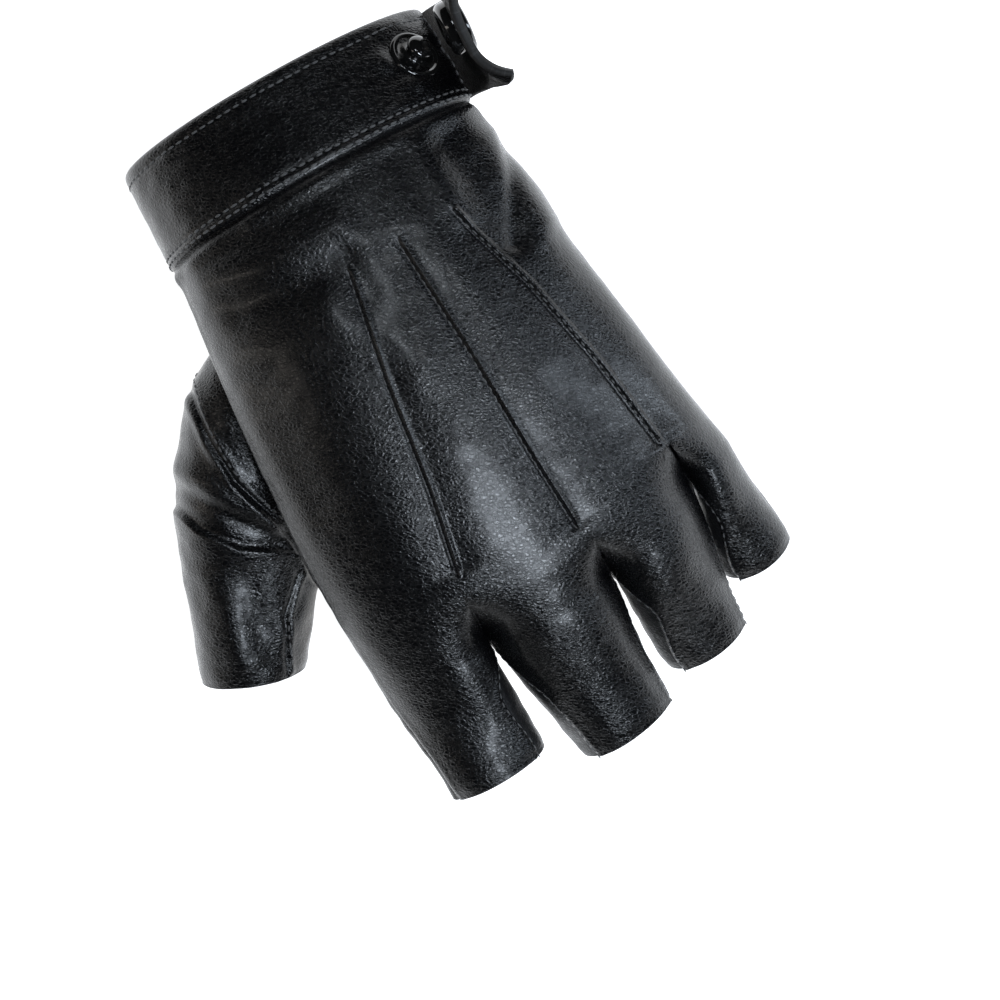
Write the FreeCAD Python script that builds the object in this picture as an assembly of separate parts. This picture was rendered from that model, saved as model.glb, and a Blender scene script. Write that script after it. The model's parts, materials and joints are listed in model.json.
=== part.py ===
import FreeCAD, Part
import math
import os

Vector = FreeCAD.Vector

# A left-hand half-finger leather glove, worn open, palm down.
# The hand frame has its origin in the middle of the wrist opening, +Y to the fingers,
# +X to the thumb side and +Z out of the back of the hand. Lengths are mm, angles degrees.
# An angle round the hand is 0 at the thumb side, 90 at the back, 180 at the little finger.

# Leather and sewing
leather = 1.1
layer_gap = 0.1
seam_gap_angle = 0.3

# Wrist and hand
hand_length = 121.0
wrist_half_width = 36.5
wrist_half_height = 22.5
cuff_depth = 20.3
facing_depth = 24.0
interlining_depth = 18.5
panel_start = 20.5
vent_depth = 20.0
vent_half_angle = 14.0
side_seam_angle = 4.0
little_seam_angle = 180.0
knuckle_shift = -4.7
knuckle_arch = 9.0
knuckle_roll = -5.0
wrist_squareness = 2.1
knuckle_squareness = 4.4

# Finger sleeves: radius outside, length ahead of the hinge, slope down, turn to the thumb side
index_radius = 11.4
index_length = 29.2
middle_radius = 11.6
middle_length = 35.0
ring_radius = 10.4
ring_length = 29.8
little_radius = 9.2
little_length = 19.8
wide_finger_gap = 2.5
narrow_finger_gap = 0.9
side_room = 1.45
sleeve_headroom = 2.6
sleeve_drop = 0.8
hinge_ahead = 2.2
sleeve_behind_hinge = 3.0
web_behind_front = 10.0
passage_trim = 0.5

# Thumb: the gusset grows out of the palm, the sleeve hinges at its end
thumb_root_radius = 14.5
thumb_middle_radius = 16.0
thumb_sleeve_radius = 11.8
thumb_sleeve_length = 31.0
thumb_room = 1.1
thumb_sleeve_behind = 2.5
thumb_places = [(0.26, 12.0, -3.0), (0.49, 38.5, -21.0), (0.669, 56.0, -30.0)]
thumb_slope = -11.5
thumb_turn = 25.0

# Cuff opening and snap
band_dorsal_end = 168.0
band_palmar_end = -167.0
snap_angle = 144.0
snap_along = 10.5
snap_flange_diameter = 12.0
snap_flange_height = 0.8
snap_neck_diameter = 4.4
snap_head_diameter = 5.8
snap_head_height = 3.6
snap_post_diameter = 8.0
snap_tube_diameter = 3.0
snap_wall = 0.5
snap_fit = 0.4
socket_height = 2.7
socket_lift = 1.1
spring_wire_diameter = 0.7
cap_rise = 2.0

# Strap end, drawn closed over the snap and then turned open
strap_width = 21.0
strap_start_along = 0.2
strap_hinge_angle = 185.0
strap_free_angle = 120.0
strap_open_angle = 28.0
strap_layer = 1.1


# ---- The hand's shape ----

finger_radii = [index_radius, middle_radius, ring_radius, little_radius]
finger_gaps = [wide_finger_gap, wide_finger_gap, narrow_finger_gap]
knuckle_half_width = sum(finger_radii) + sum(finger_gaps) / 2 + side_room
knuckle_half_height = max(finger_radii) + sleeve_headroom

# Each station: share of the length, slope of the middle line, lean of the section, then how far
# each size has gone from wrist to knuckles
hand_shares = [
    (0.0, 20.0, 3.0, 0.0, 0.0, 0.0, 0.0, 0.0, 0.0),
    (0.215, 17.0, 4.0, 0.0, 0.03, 0.17, 0.055, 0.06, 0.0),
    (0.455, 9.0, 5.5, 0.0, 0.43, 0.42, 0.33, 0.24, 0.2),
    (0.711, 0.0, 0.0, 0.53, 0.76, 0.69, 0.72, 0.47, 0.6),
    (1.0, -14.0, -14.0, 1.0, 1.0, 1.0, 1.0, 1.0, 1.0),
]
ALONG, SLOPE, LEAN, SHIFT, WIDTH, HEIGHT, ARCH, SQUARENESS, ROLL = range(9)


def grown(wrist_size, knuckle_size, share):
    """A size that goes from its wrist value to its knuckle value."""
    return wrist_size + (knuckle_size - wrist_size) * share


def hand_station(shares):
    """The sizes of one section of the hand."""
    return (
        shares[ALONG] * hand_length,
        shares[SLOPE],
        shares[LEAN],
        grown(0.0, knuckle_shift, shares[SHIFT]),
        grown(wrist_half_width, knuckle_half_width, shares[WIDTH]),
        grown(wrist_half_height, knuckle_half_height, shares[HEIGHT]),
        grown(0.0, knuckle_arch, shares[ARCH]),
        grown(wrist_squareness, knuckle_squareness, shares[SQUARENESS]),
        grown(0.0, knuckle_roll, shares[ROLL]),
    )


hand_stations = [hand_station(shares) for shares in hand_shares]


def size_at(along, column):
    """One size of the hand, on a smooth curve through the stations."""
    last = len(hand_stations) - 2
    index = 0
    while index < last and along > hand_stations[index + 1][ALONG]:
        index += 1
    here = hand_stations[index]
    there = hand_stations[index + 1]
    before = hand_stations[max(index - 1, 0)]
    after = hand_stations[min(index + 2, last + 1)]
    span = there[ALONG] - here[ALONG]
    slope_here = (there[column] - before[column]) / (there[ALONG] - before[ALONG]) * span
    slope_there = (after[column] - here[column]) / (after[ALONG] - here[ALONG]) * span
    share = (along - here[ALONG]) / span
    rest = 1 - share
    return (here[column] * (1 + 2 * share) * rest ** 2 + there[column] * (3 - 2 * share) * share ** 2
            + slope_here * share * rest ** 2 - slope_there * share ** 2 * rest)


def middle_line(along):
    """Place of the hand's middle line."""
    steps = max(1, round(abs(along)))
    step = along / steps
    y = 0.0
    z = 0.0
    for number in range(steps):
        slope = math.radians(size_at(step * (number + 0.5), SLOPE))
        y += step * math.cos(slope)
        z += step * math.sin(slope)
    return Vector(size_at(along, SHIFT), y, z)


def section_axes(along):
    """The section's own directions: to the thumb side, to the fingers, out of the back."""
    slope = math.radians(size_at(along, SLOPE))
    lean = math.radians(size_at(along, LEAN))
    roll = math.radians(size_at(along, ROLL))
    forward = Vector(0, math.cos(slope), math.sin(slope))
    upright = Vector(0, -math.sin(lean), math.cos(lean))
    side = Vector(1, 0, 0) * math.cos(roll) - upright * math.sin(roll)
    up = Vector(1, 0, 0) * math.sin(roll) + upright * math.cos(roll)
    return side, forward, up


def section_place(along, x, z):
    """A place in the section at `along`, in the hand frame."""
    side, forward, up = section_axes(along)
    return middle_line(along) + side * x + up * z


def rounded(value, power):
    """A sine or cosine bent towards a rounded rectangle."""
    return math.copysign(abs(value) ** power, value)


def hand_point(along, angle, out):
    """A place `out` from the inner face of the leather, at an angle round the hand."""
    power = 2 / size_at(along, SQUARENESS)
    turn = math.radians(angle)
    half_width = size_at(along, WIDTH)
    x = (half_width + out) * rounded(math.cos(turn), power)
    z = (size_at(along, HEIGHT) + out) * rounded(math.sin(turn), power)
    return section_place(along, x, z - size_at(along, ARCH) * (x / half_width) ** 2)


def evenly(first, last, count):
    """Values from first to last, both included."""
    return [first + (last - first) * number / (count - 1) for number in range(count)]


# ---- Curves and solids ----

points_round = 25


def smooth_edge(points):
    """One open smooth curve through the points."""
    curve = Part.BSplineCurve()
    curve.interpolate(points)
    return curve.toShape()


def smooth_loop(points):
    """One closed smooth curve through the points."""
    curve = Part.BSplineCurve()
    curve.interpolate(Points=points, PeriodicFlag=True)
    return Part.Wire([curve.toShape()])


def band_wire(there, back):
    """A closed outline from two curves that run side by side."""
    return Part.Wire([
        smooth_edge(there),
        Part.makeLine(there[-1], back[-1]),
        smooth_edge(back[::-1]),
        Part.makeLine(back[0], there[0]),
    ])


def strip(places, inner, outer):
    """A leather strip round the hand: places are (along, first angle, last angle)."""
    wires = []
    for along, first, last in places:
        angles = evenly(first, last, points_round)
        outside = [hand_point(along, angle, outer) for angle in angles]
        inside = [hand_point(along, angle, inner) for angle in angles]
        wires.append(band_wire(outside, inside))
    return Part.makeLoft(wires, True, len(wires) == 2)


def hand_volume(out, first_along, last_along):
    """The full hand as a solid, `out` from the inner face of the leather."""
    wires = []
    for along in evenly(first_along, last_along, 8):
        angles = evenly(0, 360, 33)[:-1]
        wires.append(smooth_loop([hand_point(along, angle, out) for angle in angles]))
    return Part.makeLoft(wires, True, False)


def axes_placement(origin, x_axis, y_axis, z_axis):
    """The placement that puts a piece drawn on the plain axes onto three directions."""
    matrix = FreeCAD.Matrix(
        x_axis.x, y_axis.x, z_axis.x, origin.x,
        x_axis.y, y_axis.y, z_axis.y, origin.y,
        x_axis.z, y_axis.z, z_axis.z, origin.z,
        0, 0, 0, 1)
    return FreeCAD.Placement(matrix)


def placed(shape, placement):
    """A copy of the shape at the placement."""
    copy = shape.copy()
    copy.Placement = placement.multiply(copy.Placement)
    return copy


def turned(shape, place, axis, angle):
    """A copy of the shape turned about a line."""
    copy = shape.copy()
    copy.rotate(place, axis, angle)
    return copy


def largest_solid(shape):
    """The main solid of a cut shape, without the slivers beside it."""
    return max(shape.Solids, key=lambda solid: solid.Volume)


def lathe(profile, start, sweep):
    """Turn an (r, y) outline about the Y axis, from `start` over `sweep` degrees."""
    corners = [Vector(radius, y, 0) for radius, y in profile]
    face = Part.Face(Part.makePolygon(corners + corners[:1]))
    face.rotate(Vector(0, 0, 0), Vector(0, -1, 0), start)
    return face.revolve(Vector(0, 0, 0), Vector(0, -1, 0), sweep)


def tube_loft(places, directions, radii):
    """A solid round tube through circles, each at its place and square to its direction."""
    wires = [Part.Wire([Part.makeCircle(radius, place, direction)])
             for place, direction, radius in zip(places, directions, radii)]
    return Part.makeLoft(wires, True, False)


# ---- Back and palm ----

front = hand_length
outer_hand = hand_volume(leather + layer_gap / 2, panel_start - 2, front + 2)

vent_end = panel_start + vent_depth


def little_edge(along):
    """How far the vent is open at `along`, in degrees each way from the little-finger seam."""
    share = min(1.0, (along - panel_start) / (vent_end - panel_start))
    return vent_half_angle * (1 - share) ** 1.4


panel_alongs = evenly(panel_start, vent_end, 4) + evenly(vent_end, front, 7)[1:]
back_panel = strip([(along, side_seam_angle, little_seam_angle - little_edge(along))
                    for along in panel_alongs], 0, leather)
palm_panel = strip([(along, little_seam_angle + seam_gap_angle + little_edge(along),
                     360 + side_seam_angle - seam_gap_angle) for along in panel_alongs], 0, leather)
palm_panel = largest_solid(palm_panel.cut(back_panel))

# ---- Thumb ----

thumb_path = [section_place(share * hand_length, x, z) for share, x, z in thumb_places]
thumb_hinge = thumb_path[2]
thumb_end_radius = thumb_sleeve_radius + thumb_room + leather
thumb_radii = [thumb_root_radius, thumb_middle_radius, thumb_end_radius]
turn = math.radians(thumb_turn)
slope = math.radians(thumb_slope)
thumb_forward = Vector(math.sin(turn) * math.cos(slope), math.cos(turn) * math.cos(slope), math.sin(slope))
thumb_side = thumb_forward.cross(Vector(0, 0, 1)).normalize()
thumb_up = thumb_side.cross(thumb_forward)
gusset_path = [thumb_path[0], thumb_path[1], thumb_hinge - thumb_forward * hinge_ahead]
gusset_directions = [thumb_path[1] - thumb_path[0], thumb_path[2] - thumb_path[0], thumb_forward]
gusset_outer = tube_loft(gusset_path, gusset_directions, thumb_radii)
gusset_inner = tube_loft(gusset_path, gusset_directions, [radius - leather for radius in thumb_radii])
thumb_gusset = largest_solid(gusset_outer.cut(gusset_inner).cut(outer_hand))
back_panel = back_panel.cut(gusset_inner)
palm_panel = palm_panel.cut(gusset_inner)

thumb_wall = [
    (thumb_sleeve_radius - leather, -thumb_sleeve_behind),
    (thumb_sleeve_radius, -thumb_sleeve_behind),
    (thumb_sleeve_radius, thumb_sleeve_length),
    (thumb_sleeve_radius - leather, thumb_sleeve_length),
]
thumb_placement = axes_placement(thumb_hinge, thumb_side, thumb_forward, thumb_up)
thumb_sleeve = placed(lathe(thumb_wall, 0, 360), thumb_placement)

# ---- Finger sleeves ----

fingers = [
    # name, radius, length, slope, turn, panels as (name, first angle, last angle)
    ("index", index_radius, index_length, -8.0, -1.0,
     [("back", 10, 140), ("fourchette", 140, 220), ("palm", 220, 370)]),
    ("middle", middle_radius, middle_length, -18.0, -5.0,
     [("inner_fourchette", -40, 40), ("back", 40, 140), ("outer_fourchette", 140, 220), ("palm", 220, 320)]),
    ("ring", ring_radius, ring_length, -26.0, -5.0,
     [("inner_fourchette", -40, 40), ("back", 40, 140), ("outer_fourchette", 140, 220), ("palm", 220, 320)]),
    ("little", little_radius, little_length, -32.0, -5.0,
     [("fourchette", -40, 40), ("back", 40, 170), ("palm", 170, 320)]),
]
hand_side, hand_forward = section_axes(front)[:2]
finger_hinges = {}
finger_axes = {}
finger_forwards = {}
finger_panels = {}
finger_passages = []
finger_middles = []
across = knuckle_half_width - side_room
for number, (name, radius, length, slope_angle, turn_angle, panels) in enumerate(fingers):
    across -= radius
    finger_middles.append(across)
    arch_drop = size_at(front, ARCH) * (across / knuckle_half_width) ** 2
    hinge = section_place(front, across, -arch_drop - sleeve_drop) + hand_forward * hinge_ahead
    slope = math.radians(slope_angle)
    turn = math.radians(turn_angle)
    forward = Vector(math.sin(turn) * math.cos(slope), math.cos(turn) * math.cos(slope), math.sin(slope))
    side = (hand_side - forward * hand_side.dot(forward)).normalize()
    placement = axes_placement(hinge, side, forward, side.cross(forward))
    wall = [
        (radius - leather, -sleeve_behind_hinge),
        (radius, -sleeve_behind_hinge),
        (radius, length),
        (radius - leather, length),
    ]
    for panel, first, last in panels:
        finger_panels[name + "_" + panel] = placed(lathe(wall, first, last - first), placement)
    finger_hinges[name] = hinge
    finger_axes[name] = side * -1
    finger_forwards[name] = forward
    passage = Part.makeCylinder(radius - passage_trim, 4 * web_behind_front,
                                hinge - hand_forward * (3 * web_behind_front), hand_forward)
    finger_passages.append(passage)
    across -= radius
    if number < len(finger_gaps):
        across -= finger_gaps[number]

# ---- Webs between the fingers ----

web_names = ["web_index_middle", "web_middle_ring", "web_ring_little"]
web_start = front - web_behind_front
web_plate = hand_volume(-layer_gap, web_start, web_start + leather)
for neighbour in finger_passages + [back_panel, palm_panel]:
    web_plate = web_plate.cut(neighbour)
webs = {}
web_side, web_forward = section_axes(web_start)[:2]
web_side = (web_side - web_forward * web_side.dot(web_forward)).normalize()
web_axes = [web_side, web_forward, web_side.cross(web_forward)]
for name, here, there in zip(web_names, finger_middles, finger_middles[1:]):
    width = here - there
    corner = section_place(web_start - web_behind_front, there, -knuckle_half_width)
    slab = Part.makeBox(width, 3 * web_behind_front, 2 * knuckle_half_width)
    slab = placed(slab, axes_placement(corner, *web_axes))
    webs[name] = web_plate.common(slab)

# ---- Cuff band: one leather strip folded over at the wrist edge ----

facing_outer = -leather - layer_gap
facing_inner = facing_outer - leather
band_inner = layer_gap
band_outer = layer_gap + leather


def cuff_strip(first_along, last_along, inner, outer):
    """A strip from the dorsal end of the band round to its palmar end."""
    alongs = [first_along, (first_along + last_along) / 2, last_along]
    return strip([(along, band_dorsal_end, band_palmar_end) for along in alongs], inner, outer)


cuff_layers = [
    cuff_strip(0, cuff_depth, band_inner, band_outer),
    cuff_strip(0, facing_depth, facing_inner, facing_outer),
    cuff_strip(-leather, 0, facing_inner, band_outer),
]
cuff_band = cuff_layers[0].fuse(cuff_layers[1:]).removeSplitter()
interlining_inner = facing_outer + layer_gap / 2
cuff_interlining = cuff_strip(layer_gap, interlining_depth, interlining_inner, band_inner - layer_gap)

# ---- Snap stud on the cuff band ----

wrist_forward = section_axes(snap_along)[1]
snap_seat = hand_point(snap_along, snap_angle, band_outer)
thumbward_of_seat = hand_point(snap_along, snap_angle - 0.5, band_outer)
littleward_of_seat = hand_point(snap_along, snap_angle + 0.5, band_outer)
snap_axis = (thumbward_of_seat - littleward_of_seat).cross(wrist_forward).normalize()
snap_side = snap_axis.cross(wrist_forward)
snap_placement = axes_placement(snap_seat, snap_side, snap_axis, wrist_forward)


def snap_part(profile):
    """Turn an (r, height above the band) outline about the snap's axis."""
    return placed(lathe(profile, 0, 360), snap_placement)


flange_radius = snap_flange_diameter / 2
neck_radius = snap_neck_diameter / 2
head_radius = snap_head_diameter / 2
tube_radius = snap_tube_diameter / 2
post_radius = snap_post_diameter / 2
band_sag = 1.0
head_start = snap_flange_height + (snap_head_height - snap_flange_height) * 0.4
snap_stud = snap_part([
    (tube_radius, -band_sag),
    (flange_radius, -band_sag),
    (flange_radius, snap_flange_height * 0.5),
    (flange_radius - 0.5, snap_flange_height),
    (neck_radius, snap_flange_height),
    (neck_radius, head_start),
    (head_radius, head_start + 0.5),
    (head_radius, snap_head_height - 0.8),
    (head_radius - 0.7, snap_head_height),
    (tube_radius, snap_head_height),
])
post_head_top = facing_inner - band_outer
post_head_bottom = post_head_top - snap_wall
snap_post = snap_part([
    (0, post_head_bottom),
    (post_radius, post_head_bottom),
    (post_radius, post_head_top),
    (tube_radius, post_head_top),
    (tube_radius, snap_head_height),
    (0, snap_head_height),
])
stud_seat = snap_part([(0, -band_sag), (flange_radius, -band_sag), (flange_radius, cap_rise), (0, cap_rise)])
post_seat = snap_part([
    (0, post_head_bottom - cap_rise),
    (post_radius, post_head_bottom - cap_rise),
    (post_radius, post_head_top),
    (tube_radius, post_head_top),
    (tube_radius, 0),
    (0, 0),
])
cuff_band = cuff_band.cut(stud_seat).cut(post_seat)
cuff_interlining = largest_solid(cuff_interlining.cut(stud_seat).cut(post_seat).cut(cuff_band))

# ---- Strap end with the snap's socket ----

socket_bottom = socket_lift
socket_top = socket_bottom + socket_height
strap_seat = socket_top + snap_wall
strap_lift = strap_seat + band_outer
strap_hinge = hand_point(snap_along, strap_hinge_angle, (facing_inner + band_outer) / 2)
strap_curve = [
    (strap_hinge_angle - 8, 0.45),
    (strap_hinge_angle - 17, 0.78),
    (strap_hinge_angle - 27, 0.96),
    (snap_angle + 8, 1.0),
    (snap_angle - 8, 1.0),
    (strap_free_angle + 6, 0.92),
    (strap_free_angle, 0.86),
]


def strap_line(depth):
    """The closed strap's outline at `depth` above its inner face, from hinge to free end."""
    outward = hand_point(snap_along, strap_hinge_angle, 1) - hand_point(snap_along, strap_hinge_angle, 0)
    root = strap_hinge + outward * (depth - strap_layer)
    rest = [hand_point(snap_along, angle, strap_lift * share + depth) for angle, share in strap_curve]
    return [root] + rest


def strap_layer_solid(inner, outer):
    """One leather layer of the strap, as wide as the strap."""
    face = Part.Face(band_wire(strap_line(outer), strap_line(inner)))
    solid = face.extrude(wrist_forward * strap_width)
    solid.translate(wrist_forward * (strap_start_along - snap_along))
    return solid


strap_lining = strap_layer_solid(0, strap_layer)
strap_outer = strap_layer_solid(strap_layer, 2 * strap_layer)
socket_radius = flange_radius
spring_radius = spring_wire_diameter / 2
socket_bore = head_radius + snap_fit + spring_wire_diameter
snap_socket = snap_part([
    (socket_bore, socket_bottom),
    (socket_radius, socket_bottom),
    (socket_radius, strap_seat),
    (tube_radius + layer_gap, strap_seat),
    (tube_radius + layer_gap, socket_top + layer_gap),
    (socket_bore, socket_top + layer_gap),
])
spring_ring_radius = head_radius + snap_fit + spring_radius
spring_ring = Part.makeTorus(spring_ring_radius, spring_radius, Vector(0, 0, 0), Vector(0, 1, 0))
snap_spring = placed(spring_ring, snap_placement)
snap_spring.translate(snap_axis * (socket_bottom + spring_radius + layer_gap))
cap_seat = strap_seat + 2 * strap_layer
cap_radius = flange_radius + 0.2
cap_bottom = cap_seat + 0.5
snap_cap = snap_part([
    (0, strap_seat + 0.1),
    (tube_radius, strap_seat + 0.1),
    (tube_radius, cap_bottom),
    (cap_radius, cap_bottom),
    (cap_radius, cap_bottom + 0.5),
    (cap_radius * 0.8, cap_bottom + 1.2),
    (cap_radius * 0.4, cap_bottom + cap_rise * 0.85),
    (0, cap_bottom + cap_rise * 0.9),
])
pocket_top = cap_bottom + 4 * cap_rise
socket_pocket = snap_part([
    (0, 0),
    (socket_radius, 0),
    (socket_radius, strap_seat),
    (tube_radius, strap_seat),
    (tube_radius, cap_bottom),
    (cap_radius, cap_bottom),
    (cap_radius, pocket_top),
    (0, pocket_top),
])
strap_lining = strap_lining.cut(socket_pocket)
strap_outer = strap_outer.cut(socket_pocket)

strap_axis = wrist_forward * -1
strap_pieces = {
    "strap_lining": strap_lining,
    "strap_outer": strap_outer,
    "snap_socket": snap_socket,
    "snap_spring": snap_spring,
    "snap_cap": snap_cap,
}
strap_pieces = {name: turned(shape, strap_hinge, strap_axis, strap_open_angle)
                for name, shape in strap_pieces.items()}

# ---- All the nodes, stood with the middle of their box on the origin ----

nodes = {
    "back_panel": back_panel,
    "palm_panel": palm_panel,
    "thumb_gusset": thumb_gusset,
    "thumb_sleeve": thumb_sleeve,
    "cuff_band": cuff_band,
    "cuff_interlining": cuff_interlining,
    "snap_stud": snap_stud,
    "snap_post": snap_post,
}
nodes.update(webs)
nodes.update(strap_pieces)
nodes.update(finger_panels)

box = Part.makeCompound(list(nodes.values())).optimalBoundingBox(False)
to_origin = Vector(-(box.XMin + box.XMax) / 2, -(box.YMin + box.YMax) / 2, -box.ZMin)

os.makedirs("parts", exist_ok=True)
for name, shape in nodes.items():
    shape.translate(to_origin)
    shape.exportStep(os.path.join("parts", name + ".step"))
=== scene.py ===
"""A left-hand half-finger glove in thin black leather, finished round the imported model.

Lengths are millimetres in the hand frame until a mesh is made: its origin is the middle of the
wrist opening, +Y runs to the fingers, +X to the thumb side and +Z out of the back of the hand.
An angle round the hand is 0 at the thumb side, 90 at the back and 180 at the little finger.
"""
import json
import math

import bpy
import numpy as np
from mathutils import Matrix, Vector, noise
from mathutils.kdtree import KDTree


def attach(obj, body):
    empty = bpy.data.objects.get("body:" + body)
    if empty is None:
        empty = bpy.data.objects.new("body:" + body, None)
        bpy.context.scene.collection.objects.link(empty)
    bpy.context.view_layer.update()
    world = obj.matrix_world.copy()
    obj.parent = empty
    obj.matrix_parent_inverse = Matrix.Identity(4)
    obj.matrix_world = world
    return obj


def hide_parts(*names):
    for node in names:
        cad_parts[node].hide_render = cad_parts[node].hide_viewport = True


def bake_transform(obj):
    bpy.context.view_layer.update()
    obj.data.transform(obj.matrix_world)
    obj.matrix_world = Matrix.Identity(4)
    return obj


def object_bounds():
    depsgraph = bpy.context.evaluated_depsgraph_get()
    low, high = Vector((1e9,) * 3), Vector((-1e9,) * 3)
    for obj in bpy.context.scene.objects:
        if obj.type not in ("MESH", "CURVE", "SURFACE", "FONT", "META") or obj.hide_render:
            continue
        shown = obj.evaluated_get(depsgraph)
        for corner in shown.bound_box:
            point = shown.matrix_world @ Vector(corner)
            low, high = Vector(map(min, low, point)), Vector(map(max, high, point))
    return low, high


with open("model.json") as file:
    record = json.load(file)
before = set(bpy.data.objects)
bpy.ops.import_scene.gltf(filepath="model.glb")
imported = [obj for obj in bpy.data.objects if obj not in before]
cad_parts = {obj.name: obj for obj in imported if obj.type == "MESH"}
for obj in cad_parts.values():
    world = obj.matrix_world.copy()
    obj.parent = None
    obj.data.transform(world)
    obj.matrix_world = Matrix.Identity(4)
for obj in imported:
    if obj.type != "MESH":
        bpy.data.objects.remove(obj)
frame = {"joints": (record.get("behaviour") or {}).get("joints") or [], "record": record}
cad_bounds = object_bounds()

MM = 0.001
MOUNTS = {mount["name"]: mount for mount in frame["record"]["mounts"]}
JOINTS = {joint["name"]: joint for joint in frame["joints"]}
WRIST = np.array(MOUNTS["wrist_opening"]["pos_m"])
LEATHER = 0.9
EYE_HEIGHT = 650.0
EYE = np.array([0.4, 100.0])
VIEW_WIDTH = 217.4


# ---- Small maths ----

def to_row(points):
    """Hand-frame millimetres to row-frame metres."""
    return np.asarray(points, float) * MM + WRIST


def joint_place(name):
    """A joint's place in the hand frame, and its axis."""
    joint = JOINTS[name]
    return (np.array(joint["pos_m"]) - WRIST) / MM, np.array(joint["axis"], float)


def smooth(x, xs, ys):
    """A smooth curve through the points (xs, ys), read at x."""
    xs = np.asarray(xs, float)
    ys = np.asarray(ys, float)
    slopes = np.gradient(ys, xs)
    place = np.clip(np.searchsorted(xs, x) - 1, 0, len(xs) - 2)
    span = xs[place + 1] - xs[place]
    t = (np.asarray(x, float) - xs[place]) / span
    rest = 1 - t
    return (ys[place] * (1 + 2 * t) * rest ** 2 + ys[place + 1] * (3 - 2 * t) * t ** 2
            + slopes[place] * span * t * rest ** 2 - slopes[place + 1] * span * t ** 2 * rest)


def ease(t):
    """0 before 0, 1 after 1, and smooth between."""
    t = np.clip(t, 0, 1)
    return t * t * (3 - 2 * t)


def bump(d, width):
    """A soft hill of height 1 and the given half-width."""
    return np.exp(-(d / width) ** 2)


def unit(v):
    """Vectors of length 1."""
    return v / np.maximum(np.linalg.norm(v, axis=-1, keepdims=True), 1e-12)


def bent(value, power):
    """A sine or cosine bent towards a rounded rectangle."""
    return np.sign(value) * np.abs(value) ** power


def rough(points, size, seed=0.0):
    """Soft noise between about -1 and 1, with hills about `size` across."""
    flat = np.asarray(points, float).reshape(-1, 3) / size + seed
    values = np.array([noise.noise(p) for p in flat])
    return values.reshape(np.shape(points)[:-1])


def turned(points, place, axis, degrees):
    """Points turned about a line."""
    angle = math.radians(degrees)
    arm = np.asarray(points, float) - place
    along = (arm @ axis)[..., None] * axis
    return (place + arm * math.cos(angle) + np.cross(axis, arm) * math.sin(angle)
            + along * (1 - math.cos(angle)))


def line_distance(points, line):
    """Signed distance of plan points to a line of straight runs, and how far along it they lie."""
    line = np.asarray(line, float)
    best = np.full(points.shape[:-1], 1e9)
    signed = np.zeros_like(best)
    reach = np.zeros_like(best)
    walked = 0.0
    for a, b in zip(line, line[1:]):
        run = b - a
        length = np.linalg.norm(run)
        t = ((points - a) @ run) / length ** 2
        gap = points - a - np.clip(t, 0, 1)[..., None] * run
        distance = np.linalg.norm(gap, axis=-1)
        nearer = distance < best
        side = np.sign(run[0] * (points[..., 1] - a[1]) - run[1] * (points[..., 0] - a[0]))
        best = np.where(nearer, distance, best)
        signed = np.where(nearer, distance * side, signed)
        low = -1e3 if walked == 0 else 0.0
        reach = np.where(nearer, walked + np.clip(t, low, 1e3) * length, reach)
        walked += length
    return signed, reach, walked


# ---- The hand's shape: outer face of the leather ----

STATIONS = np.array([
    # along, slope, lean of the section, middle x, half width, half height, arch, squareness, roll
    (-6, 20, 3, 0, 36.8, 23.2, 0, 2.1, 0),
    (0, 20, 3, 0, 36.9, 22.9, 0, 2.1, 0),
    (26, 17, 4, 0.2, 37.2, 21.8, 0.5, 2.2, 0),
    (55, 9, 5.5, 0.4, 39.8, 19.6, 3.0, 2.45, -1),
    (78, 2.2, 1.5, -0.3, 42.4, 17.9, 5.2, 2.7, -2.3),
    (100, -6, -6, -1.6, 44.6, 16.2, 7.4, 2.9, -3.6),
    (121, -14, -14, -3.8, 46.2, 14.2, 9.0, 3.0, -5),
    (134, -17, -17, -4.8, 47.0, 13.2, 9.5, 3.0, -5.4),
], float)
SLOPE, LEAN, MIDDLE, WIDTH, HEIGHT, ARCH, SQUARE, ROLL = range(1, 9)


def size_at(along, column):
    """One size of the hand at places along it."""
    return smooth(along, STATIONS[:, 0], STATIONS[:, column])


fine_along = np.arange(-6.0, 134.01, 0.25)
fine_slope = np.radians(size_at(fine_along, SLOPE))
fine_y = np.concatenate([[0], np.cumsum(np.cos(fine_slope[:-1]) * 0.25)])
fine_z = np.concatenate([[0], np.cumsum(np.sin(fine_slope[:-1]) * 0.25)])
fine_y -= np.interp(0, fine_along, fine_y)
fine_z -= np.interp(0, fine_along, fine_z)


def section(along):
    """Middle of the section, and its directions to the thumb side, to the fingers and out of the back."""
    slope = np.radians(size_at(along, SLOPE))
    lean = np.radians(size_at(along, LEAN))
    roll = np.radians(size_at(along, ROLL))
    zero = np.zeros_like(slope)
    middle = np.stack([size_at(along, MIDDLE), np.interp(along, fine_along, fine_y),
                       np.interp(along, fine_along, fine_z)], -1)
    forward = np.stack([zero, np.cos(slope), np.sin(slope)], -1)
    upright = np.stack([zero, -np.sin(lean), np.cos(lean)], -1)
    across = np.array([1.0, 0.0, 0.0])
    side = across * np.cos(roll)[..., None] - upright * np.sin(roll)[..., None]
    up = across * np.sin(roll)[..., None] + upright * np.cos(roll)[..., None]
    return middle, side, forward, up


# Each web: share of the half width, place along the hand, length of the hollow behind it,
# radius of the finger on its thumb side and on its little-finger side
WEBS = [(0.46, 126.7, 17.0, 12.4, 14.0), (-0.178, 127.2, 15.0, 14.0, 12.5), (-0.735, 119.6, 16.0, 12.5, 8.0)]


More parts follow.
